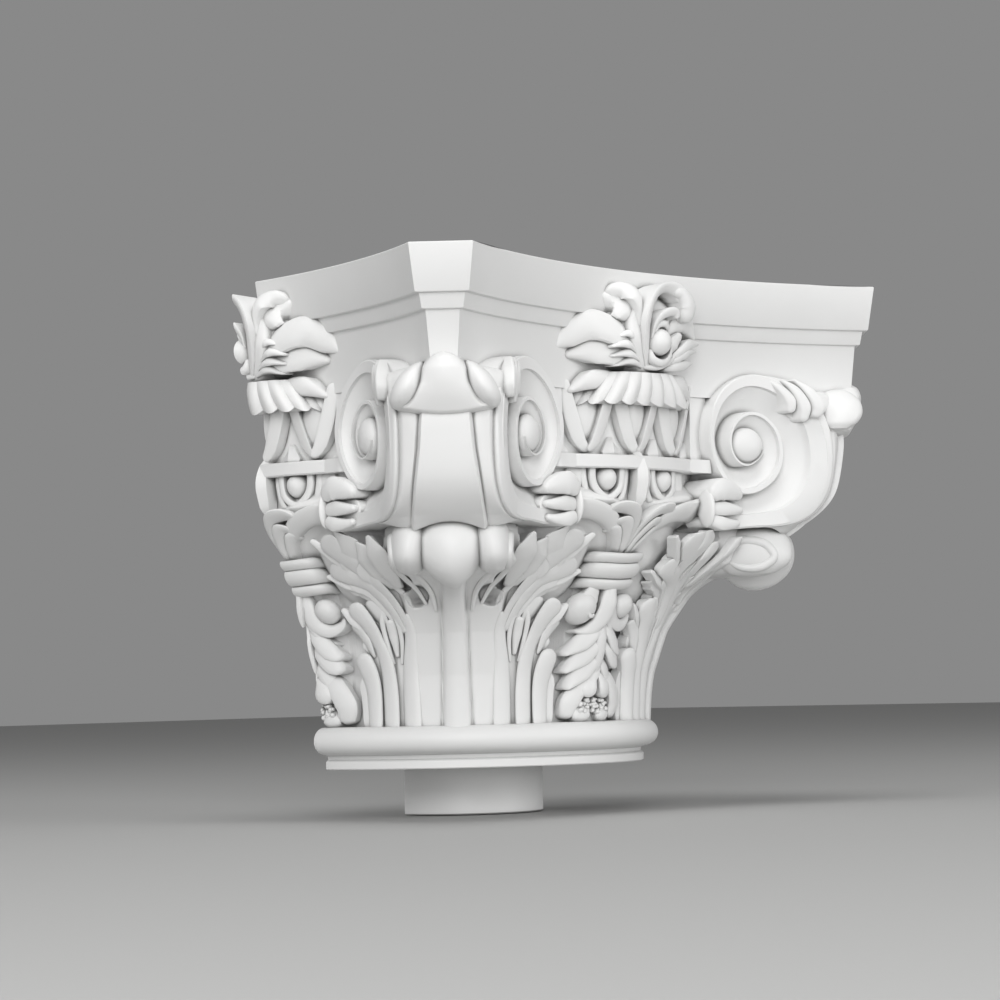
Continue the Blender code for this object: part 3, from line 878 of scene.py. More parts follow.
@dataclass
class Body:
    """Plain parts: abacus, bell, band, neck ring and spigot."""

    casting: Casting
    arc_steps: int = 60
    turn_steps: int = 180
    torus_level: float = 17.3
    torus_height: float = 8.2
    torus_depth: float = 8.6
    torus_steps: int = 24
    bevel: float = 0.8
    fillet_bevel: float = 0.6
    egg_wall: float = 150.0

    def abacus_ring(self, inset: float, level: float) -> Points:
        """Plan of the front half of the abacus: a hollow arc to each face, cut corners between.

        The arc's radius comes from its chord and hollow; it ends where it meets the corner's
        cut, which lies at an even distance from the axis on the diagonal.

        Args:
            inset: how far the plan has drawn in from the top one.
            level: height of the plan.
        Returns:
            Points from the left end of the flat back round to the right one.
        """
        half_chord = ABACUS_HALF - CORNER_INSET
        top_radius = (half_chord**2 + FACE_HOLLOW**2) / (2 * FACE_HOLLOW)
        centre = FACE_HOLLOW - ABACUS_HALF - top_radius
        radius = top_radius + inset
        cut_distance = (2 * ABACUS_HALF - CORNER_INSET) / 2**0.5 - inset
        end = np.pi / 4 + np.arcsin((2**0.5 * cut_distance + centre) / (2**0.5 * radius))
        angle = np.linspace(-end, end, self.arc_steps + 1)
        front = [radius * np.sin(angle), centre + radius * np.cos(angle), 0 * angle + level]
        front = np.stack(front, -1)
        middle = self.arc_steps // 2
        left = to_left_face(front)[: middle + 1][::-1]
        right = to_right_face(front)[middle:][::-1]
        return np.concatenate([left, front, right])

    def abacus(self) -> bpy.types.Object:
        """Three-tiered slab with hollow sides and cut corners."""
        rings = [self.abacus_ring(inset, level) for level, inset in ABACUS_STEPS]
        return self.casting.piece("abacus", rings_shell(np.array(rings)))

    def outline(self) -> list:
        """Profile of the turned parts, from the spigot up to under the abacus.

        Returns:
            Level and radius of each point.
        """
        bevel, fine = self.bevel, self.fillet_bevel
        outline = [(-SPIGOT_LENGTH, SPIGOT_RADIUS - bevel), (-SPIGOT_LENGTH + bevel, SPIGOT_RADIUS)]
        outline += [(0.0, SPIGOT_RADIUS), (0.0, NECK_RADIUS - fine), (fine, NECK_RADIUS)]
        outline += [(FILLET_TOP - fine, NECK_RADIUS), (FILLET_TOP, NECK_RADIUS - fine)]
        outline += [(6.0, NECK_RADIUS - 1.8), (8.2, NECK_RADIUS - 1.4)]
        for angle in np.radians(np.linspace(-84, 90, self.torus_steps)):
            radius = TORUS_RADIUS - self.torus_depth + self.torus_depth * np.cos(angle)
            outline.append((self.torus_level + self.torus_height * np.sin(angle), radius))
        outline += BELL_OUTLINE
        outline += [(BAND_FOOT, BAND_RADIUS - bevel), (BAND_FOOT + bevel, BAND_RADIUS)]
        outline += [(BAND_TOP - bevel, BAND_RADIUS), (BAND_TOP, BAND_RADIUS - bevel)]
        outline += [(BAND_TOP + 0.6, self.egg_wall - 1.0), (205.0, self.egg_wall)]
        return outline + [(ABACUS_STEPS[0][0], self.egg_wall)]

    def core(self) -> bpy.types.Object:
        """Turned body under the ornament, with its flat back.

        Returns:
            The visible piece.
        """
        turn = np.linspace(-np.pi / 2, np.pi / 2, self.turn_steps + 1)
        rings = [polar(radius, turn, np.full_like(turn, level)) for level, radius in self.outline()]
        return self.casting.piece("bell_with_neck_ring", rings_shell(np.array(rings)))

    def build(self) -> list:
        """Abacus and turned body, the visible pieces."""
        return [self.abacus(), self.core()]


@dataclass
class LeafWork:
    """Carving round the bell: a leaf under each corner, a garland under each face.

    The carved ground is a drum from low to high with its back at radius back. garland_edge is
    the turn in degrees from a face's middle at which the garland's sector ends. egg_turn and
    egg_wall place the small eggs; crumbs and seed make the middle of the flower.
    """

    casting: Casting
    low: float = 23.0
    high: float = 175.5
    back: float = 96.0
    cell: float = 0.7
    turn_cell: float = 0.36
    garland_edge: float = 16.2
    egg_turn: float = 9.0
    egg_wall: float = 151.0
    strap_rise: float = 2.4
    petal_rise: float = 2.2
    stem_rise: float = 2.8
    crumbs: int = 46
    seed: int = 7
    cut_in: float = 0.02

    def carve(self) -> tuple:
        """Carves the quarter from corner to corner about the front face.

        Returns:
            The turn of each column in degrees and the relief.
        """
        turn = np.arange(-45.0, 45.0 + self.turn_cell / 2, self.turn_cell)
        level = np.linspace(self.low, self.high, int((self.high - self.low) / self.cell) + 1)
        grid_turn, grid_level = np.meshgrid(turn, level)
        radius = bell_radius(grid_level)
        field = Relief(np.radians(grid_turn) * radius, grid_level, np.zeros_like(radius))
        mound = [(0, 128, 7), (0, 100, 8), (0, 60, 7), (0, 30, 5)]
        field.stroke(mound, (11, 12, 12, 11), 3.0, steep=3)
        branch = [(2, 122, 6), (10, 137, 8), (22, 147, 8), (38, 151, 7), (56, 152, 8)]
        for side in (-1, 1):
            field.stroke(sided(side, branch), (8, 9, 9, 9, 9), 2.0, steep=1.2)
            field.dome((side * 43, 120, 0), (27, 27, 12))
            self.acanthus(field.around(-side * np.radians(grid_turn - side * 45.0) * radius))
        field.soften(1)
        return turn, field

    def knots(self, points: Knots) -> list:
        """Knots given as degrees off the middle line, level and height off the wall."""
        return [(np.radians(turn) * bell_radius(level), level, off) for turn, level, off in points]

    def acanthus(self, leaf: Relief) -> None:
        """Carves the body of one half of the corner leaf: its plate, midrib, holes and eye.

        Args:
            leaf: the field with u growing from the diagonal outwards.
        """
        body = [(0, 20, 9), (0, 45, 11), (0, 63, 14), (0, 80, 17.5)]
        body += [(0, 92, 21), (0, 102, 26), (0, 112, 35), (0, 120, 46)]
        width = (24, 24, 24, 24, 24, 24, 25, 26)
        leaf.stroke(self.knots(body), width, (1.5, 2), Form.FLAT, steep=1.5, count=40)
        midrib = [(0, 20, 11), (0, 45, 12.5), (0, 63, 16), (0, 80, 20)]
        midrib += [(0, 92, 24.5), (0, 104, 30), (0, 112, 38)]
        leaf.stroke(self.knots(midrib), (7.4, 6.4, 5.6, 5.2, 5.0), (3.4, 3.6), moat=2.0)
        hollows = (
            ((11.6, 109.0, 0), (5.0, 5.6, 14.0), 20),
            ((8.7, 101.5, 0), (5.4, 6.6, 14.0), 20),
            ((17.6, 76.0, 0), (4.0, 12.0, 4.0), -3),
        )
        for place, radii, tilt in hollows:
            leaf.pit(self.knots([place])[0], radii, tilt)

    def garland(self) -> list:
        """Ribbon, fruit, strap leaves, flower, stalks and small eggs of one face.

        Returns:
            Shells over u, v, w about the face's middle.
        """
        straps = (
            # from the lowest and hindmost up: left side, right side
            ([(1, 66, 10), (-4, 56, 13), (-10, 47, 12), (-17, 37, 8)], (2.5, 5.2, 5.6, 1.6), 2.2),
            ([(2, 68, 10), (5, 59, 13), (9.5, 52, 11.5), (14.5, 46, 8)], (2.5, 4.6, 4.4, 1.2), -2.0),
            ([(1, 76, 11), (-5, 65, 14.5), (-12, 55, 13.5), (-20, 45, 8.5)], (2.5, 5.6, 6.0, 1.6), 2.2),
            ([(2, 80, 11), (7, 70, 14.5), (12.5, 62.5, 14), (18, 59, 11)], (2.5, 5.4, 5.6, 3.0), -2.0),
            ([(0, 84, 12), (-6, 73.5, 16), (-13, 64, 15), (-22, 55, 9.5)], (2.5, 5.4, 5.8, 1.6), 2.2),
            ([(1, 90, 12), (6, 79, 15.5), (12, 70.5, 15), (18.5, 66.5, 11.5)], (2.5, 4.8, 5.0, 2.6), -2.0),
            ([(1, 100, 11), (3.5, 88, 15), (8, 78.5, 14.5), (13.5, 74.5, 11)], (3, 3.6, 3.4, 1.4), -1.6),
            ([(-2, 89, 13), (-8, 79.5, 17), (-15, 72, 16), (-23.5, 65.5, 10)], (2.5, 4.8, 5.0, 1.6), 2.2),
            ([(-2, 92, 15), (-2.4, 76, 18), (-2, 62, 16), (-3.4, 50, 12)], (3, 4.0, 3.6, 1.2), 0),
            ([(-1, 108, 15), (-2.0, 97, 19.5), (-4.6, 87, 19.5), (-10.5, 80.5, 17.5), (-18, 79.5, 13)],
             (3, 4.6, 4.8, 3.6, 1.2), 1.2),
        )
        shells = [strap(points, half, self.strap_rise, lean=lean) for points, half, lean in straps]
        shells.append(strap([(-9, 107, 13), (-13.5, 99, 17), (-16, 93, 17)], (4.0, 6.0, 5.0), 2.0))
        shells.append(ball((-16.6, 93.0, 13.0), (9.2, 9.8, 9.4), -10))
        pear_stem = [(-15.6, 90.6, 21.2), (-13.6, 88.0, 21.6), (-11.4, 89.4, 20.8)]
        shells.append(strap(pear_stem, (0.8, 1.2, 0.7), 0.7, depth=4))
        shells.append(ball((14.4, 94.6, 12.5), (7.4, 7.6, 7.6)))
        curl = [(1.6, 110, 13), (2.4, 98, 16), (6.0, 87.4, 16)]
        curl += [(13.6, 83.2, 14.5), (21, 86, 12), (24, 90.6, 10.5)]
        shells.append(strap(curl, (2.6, 4.4, 4.8, 4.2, 3.0, 1.4), 2.2, lean=-1.4))
        for level, half, out in ((108.2, 3.3, 17.4), (123.2, 3.3, 18.0), (115.8, 4.6, 19.0)):
            round_bell = [(-16.6, level, -2), (-16.8, level, out - 9), (-12.5, level - 0.6, out - 2.6)]
            round_bell += [(0, level - 1.2, out), (12.5, level - 0.4, out - 2.6)]
            round_bell += [(16.8, level + 0.4, out - 9), (16.6, level, -2)]
            shells.append(cord(round_bell, half, 3.4))
        return shells + self.flower() + self.stalks() + self.small_eggs()

    def fingers(self) -> list:
        """Strands and lobes of one half of the corner leaf.

        A row holds the curve, its half widths, rise, lean, and whether a broader and lower web
        joins it to its neighbours.

        Returns:
            Shells over u, v, w; u grows from the diagonal outwards.
        """
        fingers = (
            # ribs between the two holes and up into the curled top
            ([(4.4, 92, 24), (5.2, 103, 30), (7.4, 112, 37), (10.5, 120, 43)],
             (0.8, 1.4, 1.6), 1.4, 0.0, False),
            ([(10.4, 90, 18), (11.4, 100, 23), (13.2, 106, 26), (15.6, 113, 31)],
             (0.8, 1.4, 1.6), 1.4, 0.0, False),
            ([(6.6, 96, 25), (8.6, 105.5, 29), (10.6, 112, 35), (12.4, 120, 41)],
             (0.8, 1.3, 1.5), 1.4, 0.0, False),
            # lobes of the curled top, behind the hanging tip
            ([(12.6, 106, 28), (13.6, 116, 38), (14.6, 126, 45), (15.4, 136, 46)],
             (1.8, 4.4, 4.6, 1.0), 2.2, 0.8, False),
            ([(14.6, 106, 24), (16.4, 116, 31), (17.6, 125, 35), (19.4, 133, 35)],
             (1.8, 5.2, 6.0, 0.8), 2.0, 1.6, True),
            ([(18.4, 112, 24), (20.2, 122, 29), (21.6, 131, 32), (23.8, 139.5, 31)],
             (1.8, 5.4, 6.0, 0.8), 2.0, 1.6, True),
            # drop-shaped eye between the main rib and the second one
            ([(16.8, 66, 11.5), (17.2, 78, 14.5), (17.6, 89, 16)], (1.2, 3.0, 3.2), 2.4, 0.0, False),
            ([(15.8, 62, 12), (14.9, 76, 16), (15.4, 88, 18.5), (17.0, 95, 19)],
             (0.8, 1.2, 1.4, 1.0), 1.0, 0.0, False),
            ([(18.2, 62, 12), (19.2, 74, 15.5), (19.8, 86, 17.5), (19.4, 93, 17.5)],
             (0.8, 1.2, 1.4, 1.0), 1.0, 0.0, False),
            # third rib with its round head, and the small finger over it
            ([(25.6, 20, 8.5), (25.6, 45, 9.5), (26.6, 58, 11.5), (29.0, 69, 11.5)],
             (4.8, 5.2, 5.8, 5.8), 2.6, 1.6, True),
            ([(24.4, 66, 11), (26.4, 78, 13), (30.2, 86, 13)], (1.6, 3.0, 2.0), 1.4, 1.4, True),
            # second rib, its round head, lower lip and inner head
            ([(18.8, 80, 13), (20.4, 91, 16.5), (23.4, 99.5, 17.0)], (1.8, 4.0, 4.2), 1.4, 1.4, True),
            ([(22.6, 70, 11), (25.6, 82, 13.5), (28.8, 89, 15), (32.0, 96, 14)],
             (1.0, 2.4, 3.0, 1.2), 1.2, -0.9, True),
            ([(20.2, 20, 9), (20.2, 45, 10), (20.6, 62, 12), (21.8, 74, 14.5), (24.2, 87, 17.5),
              (28.0, 98, 18)],
             (5.2, 5.2, 4.6, 3.8, 4.6, 6.0), 2.2, 1.8, True),
            # fan of the main rib, from the lowest finger up
            ([(15.6, 84, 15), (18.6, 96.5, 18), (23, 103.5, 18.5), (29.4, 109.4, 17)],
             (1.4, 2.4, 2.8, 0.9), 1.0, 1.2, True),
            ([(17.2, 94, 17), (22, 104.6, 20), (27, 110.0, 20), (32.4, 115.4, 18.5)],
             (0.8, 2.0, 3.0, 1.2), 1.0, -0.9, True),
            ([(13.8, 80, 16), (16.3, 94, 20.5), (20.3, 107.5, 23.5), (25, 114.6, 24.5), (29.6, 120.0, 23)],
             (2.0, 2.4, 3.0, 5.0, 6.0), 1.6, 1.8, True),
            ([(14.8, 88, 17), (19.2, 106, 22), (24, 119, 24.5), (29.0, 129.4, 23)],
             (1.4, 2.6, 3.0, 0.7), 1.0, 1.4, True),
            ([(17, 100, 19), (22.5, 115.5, 23.5), (27, 125.4, 25), (31.8, 136.0, 23)],
             (0.8, 2.0, 3.2, 1.2), 1.0, -0.9, True),
            ([(12.8, 80, 16.5), (14.6, 95, 21.5), (18.6, 110.5, 26.5), (23.4, 124.5, 29.5),
              (27.6, 136.2, 29)],
             (2.6, 2.6, 3.0, 4.8, 6.2), 1.6, 2.0, True),
            ([(13.4, 20, 9.5), (13.4, 45, 11), (13.0, 65, 13.5), (12.2, 80, 17), (12.8, 92, 20)],
             (5.4, 5.0, 4.2, 3.4, 2.2), 2.4, 1.4, True),
        )
        shells = []
        for points, half, rise, lean, webbed in fingers:
            shells.append(strap(self.knots(points), half, rise, lean=lean, depth=6))
            if webbed:
                web = [(turn, level, off - 2.4) for turn, level, off in points[:-1]]
                shells.append(strap(self.knots(web), [1.9 * width for width in half[:-1]], 0.6, depth=7))
        return shells

    def flower(self) -> list:
        """Open flower at the garland's foot: petals round a crumbled middle.

        Returns:
            Shells over u, v, w.
        """
        petals = (
            ([(-4, 40, 8), (-8.5, 31, 10), (-9.5, 24, 8)], (2.5, 5.6, 5.0), 0.8),
            ([(4, 38, 8), (6.5, 30, 10.5), (7, 24, 8.5)], (2.5, 5.8, 5.2), -0.8),
            ([(-2, 56, 9), (-10, 47, 11), (-16.5, 37, 9.5), (-17.5, 27, 6)], (1.5, 4.6, 5.4, 3.4), 1.6),
            ([(1, 60, 9), (10.5, 51, 12), (17.5, 38, 11), (15, 27, 8)], (2.0, 5.4, 6.4, 4.4), -1.6),
        )
        inner = (
            ([(-1.6, 56, 12), (-6, 47.5, 14.5), (-7.6, 40, 14)], (1.6, 4.2, 4.6), 1.4),
            ([(0.6, 57, 12), (4.2, 47.5, 14.8), (5.6, 39.4, 14)], (1.6, 4.8, 5.2), -1.4),
        )
        rise = self.petal_rise
        shells = [strap(points, half, rise, lean=lean) for points, half, lean in petals]
        draw = np.random.default_rng(self.seed)
        ranges = ((-11, 8.5), (31.0, 39.0), (0.9, 1.7))
        for u, v, size in np.stack([draw.uniform(low, high, self.crumbs) for low, high in ranges], -1):
            shells.append(ball((u, v, 11.2), (size, size, size * 1.5), around=8, levels=6))
        return shells + [strap(points, half, rise, lean=lean) for points, half, lean in inner]

    def stalks(self) -> list:
        """Stems from the ribbon to the husk of each scroll's tail, with small curls.

        Returns:
            Shells over u, v, w.
        """
        stems = (
            ([(3, 122, 9), (9, 135, 12.5), (19, 143.6, 14), (34, 149.6, 14), (66, 152.6, 13)],
             (3.0, 3.8, 4.4, 5.2, 8.4), 0.0),
            ([(5, 124, 12), (9, 132, 14.5), (14, 138.5, 15), (19, 139, 12)], (1.8, 2.2, 2.6, 1.8), 1.0),
            ([(2.5, 122, 12), (4.5, 134, 15.5), (10.5, 143, 16.5), (17.5, 142.5, 14)],
             (2.2, 2.8, 3.4, 2.2), 1.2),
            ([(1, 126, 12), (3.0, 141, 15.5), (10, 149.8, 17), (20, 151.5, 15.5), (24.5, 147.5, 12)],
             (2.0, 2.8, 3.6, 3.4, 2.0), 1.2),
        )
        return [
            strap(sided(side, points), half, self.stem_rise, lean=side * lean)
            for side in (-1, 1)
            for points, half, lean in stems
        ]

    def small_eggs(self) -> list:
        """Two small eggs in double frames, a keeled leaf between and slabs beyond.

        Returns:
            Shells over u, v, w.
        """
        shells = []
        for side in (-1, 1):
            middle = side * np.radians(self.egg_turn) * self.egg_wall
            slab = sided(side, [(21, 178, 1), (22, 164, 2), (25, 154, 2)])
            slab = [(middle + out, level, lift) for out, level, lift in slab]
            shells.append(strap(slab, (6, 5.5, 2.5), 1.8, Form.FLAT))
            shells.append(ball((middle, 168.4, 2.0), (6.9, 7.3, 7.4)))
            for half_gap, foot, lift in ((15.6, 152.0, 2.0), (10.6, 157.0, 4.2)):
                arm = [(1.0, 178, lift), (0.97, 168, lift + 1), (0.7, foot + 4.5, lift + 2)]
                line = [(middle - half_gap * share, v, w) for share, v, w in arm]
                line.append((middle, foot, lift + 2))
                line += [(middle + half_gap * share, v, w) for share, v, w in arm[::-1]]
                shells.append(strap(line, 2.1, 1.0, count=40))
        keeled = [(0, 186, 2.0), (0, 180, 7), (0, 170, 10.0), (0, 160, 9), (-0.5, 146, 6)]
        shells.append(strap(keeled, (1.4, 4.2, 5.4, 4.8, 1.2), 3.4, Form.KEEL))
        return shells

    def build(self) -> list:
        """Cuts the carved field into its sectors and adds straps, fruit and strands.

        Returns:
            The visible pieces.
        """
        turn, field = self.carve()
        radius = bell_radius(field.v) + field.w
        middle, last = len(turn) // 2, len(turn) - 1
        left, right = -90 - turn[: middle + 1][::-1], 90 - turn[middle:][::-1]
        wide = np.concatenate([left, turn[1:-1], right])
        runs = (np.arange(middle, -1, -1), np.arange(1, last), np.arange(last, middle - 1, -1))
        columns = np.concatenate(runs)
        radius, level = radius[:, columns], field.v[:, columns]
        points = polar(radius, np.radians(wide)[None, :] + 0 * radius, level)

        def block(low: float, high: float) -> Shell:
            """Sector of the carved drum between two turns."""
            taken = (wide >= low - TURN_SLACK) & (wide <= high + TURN_SLACK)
            return sector(points[:, taken], self.back)

        edge = self.garland_edge
        hung = joined([shell.placed(on_bell) for shell in self.garland()])
        sides = [partial(on_leaf, side=side) for side in (-1, 1)]
        strands = joined([shell.placed(place) for shell in self.fingers() for place in sides])
        leaf = joined([block(edge, 90 - edge), strands])
        half = joined([block(90 - edge, 90), hung.placed(to_right_face)])
        return [
            self.casting.piece("garland_front", joined([block(-edge, edge), hung])),
            self.casting.piece("acanthus_right", leaf),
            self.casting.piece("acanthus_left", leaf.placed(mirror_x)),
            self.casting.half_piece("garland_right_half", half, self.cut_in),
            self.casting.half_piece("garland_left_half", half.placed(mirror_x), self.cut_in),
        ]


@dataclass
class EggRing:
    """Large eggs with crossing shells and darts, between the plain band and the abacus.

    pitch is the turn in degrees from egg to egg, reach how many eggs stand on each side of a
    face's middle one, and front the radius at which widths are measured. The pointed shell
    round an egg goes from shell_foot to shell_top and is shell_half away from it at the top.
    """

    casting: Casting
    drum: float = 150.5
    front: float = 157.0
    back: float = 140.0
    pitch: float = 14.0
    reach: int = 3
    low: float = BAND_TOP - 0.5
    high: float = 224.0
    turn_cell: float = 0.375
    rows: int = 50
    egg_level: float = 208.0
    egg_radii: tuple = (12.6, 19.0, 7.0)
    egg_moat: float = 1.5
    shell_foot: float = 184.2
    shell_top: float = 227.0
    shell_half: float = 17.6
    shell_power: float = 0.66
    cut_in: float = 0.025

    def build(self) -> list:
        """Carves the ring in three pieces.

        Returns:
            The visible pieces.
        """
        turn = np.arange(-90, 90 + self.turn_cell / 2, self.turn_cell)
        level = np.linspace(self.low, self.high, self.rows)
        grid_turn, grid_level = np.meshgrid(turn, level)
        field = Relief(np.radians(grid_turn) * self.front, grid_level, np.zeros_like(grid_turn))
        arms = {-90: [], 0: [], 90: []}
        for face in arms:
            for k in range(-self.reach, self.reach + 1):
                u = np.radians(face + k * self.pitch) * self.front
                arms[face] += self.egg(field, u, dart=abs(k) < self.reach)
        field.soften(1)
        points = polar(self.drum + field.w, np.radians(grid_turn), grid_level)

        def arc(low: float, high: float, face: int) -> Shell:
            """Stretch of the ring with its strips.

            Args:
                low: turn in degrees at which it starts.
                high: turn at which it ends.
                face: turn of the face's middle, which names the strips.
            Returns:
                The shell in space.
            """
            taken = (turn >= low - TURN_SLACK) & (turn <= high + TURN_SLACK)
            ground = sector(points[:, taken], self.back)
            return joined([ground] + [arm.placed(self.on_ring) for arm in arms[face]])

        return [
            self.casting.half_piece("eggs_left", arc(-90, -45, -90), self.cut_in),
            self.casting.piece("eggs_front", arc(-45, 45, 0)),
            self.casting.half_piece("eggs_right", arc(45, 90, 90), self.cut_in),
        ]

    def on_ring(self, p: Points) -> Points:
        """u along the ring, v level, w off the ring's drum."""
        return polar(self.drum + p[..., 2], p[..., 0] / self.front, p[..., 1])

    def egg(self, field: Relief, u: float, dart: bool) -> list:
        """Carves one egg and makes the strips beside it.

        An arm of the shell opens upwards: its distance from the egg's middle line = shell_half x
        share of its height to the power shell_power. The arms of neighbours cross.

        Args:
            field: the ring's ground.
            u: middle line of the egg.
            dart: whether a dart stands on its right.
        Returns:
            The dart and both arms of the egg's pointed shell, over u, v, w.
        """
        field.dome((u, self.egg_level, 0), self.egg_radii, moat=self.egg_moat)
        arms = []
        if dart:
            middle = u + np.radians(self.pitch) * self.front / 2
            arms.append(strap([(middle, 181.6, 4.0), (middle, 193.5, 1.5)], (9.4, 0.5), 3.0, Form.KEEL))
        share = np.linspace(0, 1, 7)
        level = self.shell_foot + (self.shell_top - self.shell_foot) * share
        for side, lift in ((-1, 5.2), (1, 6.8)):
            out = u + side * self.shell_half * share**self.shell_power
            line = np.stack([out, level, lift + 2.6 * share], -1)
            arms.append(strap(line, (2.0, 3.8, 4.2, 4.2, 4.0, 3.8), 0.6, lean=1.2 * side, tuck=0.95))
        return arms


@dataclass
class Volute:
    """Corner of the capital: two scrolls, the flared front between them, leaf cap and tip.

    outer_cell and inner_cell are the degrees from ring to ring on the first winding and on the
    next ones. step is the drop from the rim into the channel, and full_width the width of a
    winding from which on the channel has its full depth. bevel is the width of the slope beside
    the front's flat panel, edge that of the band along the scroll.
    """

    casting: Casting
    outer_cell: float = 3.5
    inner_cell: float = 6.0
    step: float = 2.4
    full_width: float = 17.0
    eye_place: tuple = (94.8, 192.0, -5.0)
    eye_radii: tuple = (11.0, 11.2, 7.0)
    front_rows: int = 110
    bevel: float = 2.0
    edge: float = 7.5
    cap_cell: float = 0.6
    cap_floor: float = 222.0

    def coil(self) -> Shell:
        """The scroll as one band wound round its eye.

        Point = eye + reach(turn, share) towards the turn; reach goes from the band's outer edge
        to that of the next winding. Depth: flat rim, a step, then a hollow falling evenly.

        Returns:
            The shell over u, v, w.
        """
        curve = smooth(list(zip(SCROLL_WOUND, SCROLL_REACH)), SCROLL_PLACES)
        wound = np.concatenate([np.arange(-29, 420, self.outer_cell), np.arange(420, 792, self.inner_cell)])
        outer = np.interp(wound, curve[:, 0], curve[:, 1])[:, None]
        inner = np.interp(wound + 360, curve[:, 0], curve[:, 1])[:, None]
        rim = np.interp(wound, (100, 260, 420), (RIM_SHARE, 0.24, 0.2))[:, None]
        flat = rim * np.array((0, 0, 0.12, 0.94))
        fall = np.array((0.0, 0.1, 0.25, 0.4, 0.55, 0.7, 0.85, 1.0, 1.0))
        share = np.concatenate([flat, rim + (1 - rim) * fall], axis=1)
        deep = CHANNEL_DEPTH * np.clip((outer - inner) / self.full_width, 0.5, 1.0)
        w = np.concatenate([0 * flat, -self.step - (deep - 1.6) * fall], axis=1)
        w[:, 1] = -0.9
        w[:, [0, -1]] = SCROLL_FLOOR
        reach = outer - share * np.maximum(outer - inner, 1.0)
        turn = np.radians(wound)[:, None]
        u, v = SCROLL_EYE[0] + reach * np.sin(turn), SCROLL_EYE[1] - reach * np.cos(turn)
        return rings_shell(np.stack([u, v, w], -1))

    def tail(self) -> list:
        """Tail of the scroll, its ring and husk leaves, and the tongues over its top.

        A row holds the curve, its half widths, rise, form and the depth of its walls.

        Returns:
            Shells over u, v, w.
        """
        parts = (
            # tail and its three husk leaves
            ([(88, 149.2, -1.0), (78, 150, -0.5), (62, 151, 0)], (7.2, 7.4, 7.0), 1.0, Form.FLAT, 30),
            ([(86, 151.8, 1.4), (79, 151.8, 3.6), (69, 152.4, 4.4), (58, 152, 3)],
             (1.8, 3.2, 4.6, 4.0), 2.0, Form.ROUND, 20),
            ([(84, 144.6, 1.0), (77, 143.2, 3.4), (67, 143.4, 4.6), (58, 146, 3)],
             (1.8, 3.0, 4.4, 3.6), 1.8, Form.ROUND, 20),
            ([(86, 160.0, 1), (78, 162.5, 4), (67, 164.0, 5.6), (57, 159, 4)],
             (2.6, 5.4, 7.2, 4.0), 2.6, Form.ROUND, 26),
            # tongues over the scroll's top
            ([(109, 232.5, -2), (114.4, 227, 1.8), (118.8, 219.5, 3.6), (119.2, 212.0, 2.8)],
             (0.8, 2.2, 3.0, 2.2), 1.6, Form.ROUND, 16),
            ([(116, 233, -1), (121.6, 226.5, 3.4), (126.0, 216.0, 5.2), (125.6, 206.5, 3.6)],
             (0.8, 2.4, 3.2, 2.2), 1.6, Form.ROUND, 16),
            ([(123, 233, 0), (129.0, 225, 5.0), (133.0, 216, 6.6), (131.6, 209, 5.0)],
             (0.8, 2.6, 3.3, 2.2), 1.6, Form.ROUND, 16),
            # plain band behind the scroll, and the wall that closes its left side
            ([(48, 178.5, -4.4), (58, 178.5, -3.4), (66, 178.3, -2.8), (73, 178.0, -8.0)],
             4.0, 0.0, Form.FLAT, 14),
            ([(62, 178, -9.0), (62.5, 204, -9.0), (63, 232, -9.0)], 7.0, 0.0, Form.FLAT, 18),
        )
        shells = [
            strap(points, half, rise, form, depth=depth, tuck=0.94)
            for points, half, rise, form, depth in parts
        ]
        shells.append(ball((57.4, 152.4, 1.0), (2.7, 11.6, 6.8)))
        return shells

    def scroll(self) -> Shell:
        """One scroll at its place on the front face, right corner."""
        eye = ball(self.eye_place, self.eye_radii)
        return joined([shell.placed(on_volute) for shell in [self.coil(), eye, *self.tail()]])

    def front(self) -> Shell:
        """Flared front between the scrolls, lofted round the outline they share.

        Each row runs from one scroll's outline to the other's. Distance along the diagonal =
        middle line in the flat panel, less the bevel and its groove, easing to the outline's own
        distance by share to the power 2.2, less a groove and plus a bead near the edge.

        Returns:
            The shell in space.
        """
        curve = smooth(list(zip(SCROLL_WOUND, SCROLL_REACH)), SCROLL_PLACES)
        wound = np.linspace(-2.0, 192.0, self.front_rows)
        reach = np.interp(wound, curve[:, 0], curve[:, 1]) - 0.4
        turn = np.radians(wound)
        u, v = SCROLL_EYE[0] + reach * np.sin(turn), SCROLL_EYE[1] - reach * np.cos(turn)
        rim = on_volute(np.stack([u, v, 0 * turn - 0.6], -1))
        out_rim, side_rim = (rim[:, :1] - rim[:, 1:2]) / 2**0.5, -(rim[:, :1] + rim[:, 1:2]) / 2**0.5
        spine = smooth(CORNER_FRONT, 400)
        out = np.interp(wound, spine[:, 0], spine[:, 1])[:, None]
        level = np.interp(wound, spine[:, 0], spine[:, 2])[:, None]
        panel = np.interp(level, (137, 146, 160, 180, 199), (20.5, 19, 17.2, 14.4, 13))
        steps = [np.linspace(band, band + 1, count)[1:] for band, count in enumerate((9, 7, 12, 13))]
        steps = np.concatenate([[0.0], *steps])
        k = np.minimum(steps.astype(int), 3)
        t = steps - k
        foot = panel + self.bevel
        marks = np.concatenate([0 * panel, panel, foot, side_rim - self.edge, side_rim], axis=1)
        side = marks[:, k] * (1 - t) + marks[:, k + 1] * t
        beyond = np.clip((side - foot) / (side_rim - foot), 0, 1)
        ahead = out - 4.0 * np.clip((side - panel) / self.bevel, 0, 1)
        ahead += (out_rim - ahead) * beyond**2.2
        ahead -= 1.3 * np.exp(-(((side - foot) / 0.7) ** 2))
        ahead -= 2.2 * np.exp(-((side_rim - side - 5.2) ** 2))
        ahead += 1.2 * np.exp(-(((side_rim - side - 2.2) / 1.5) ** 2))
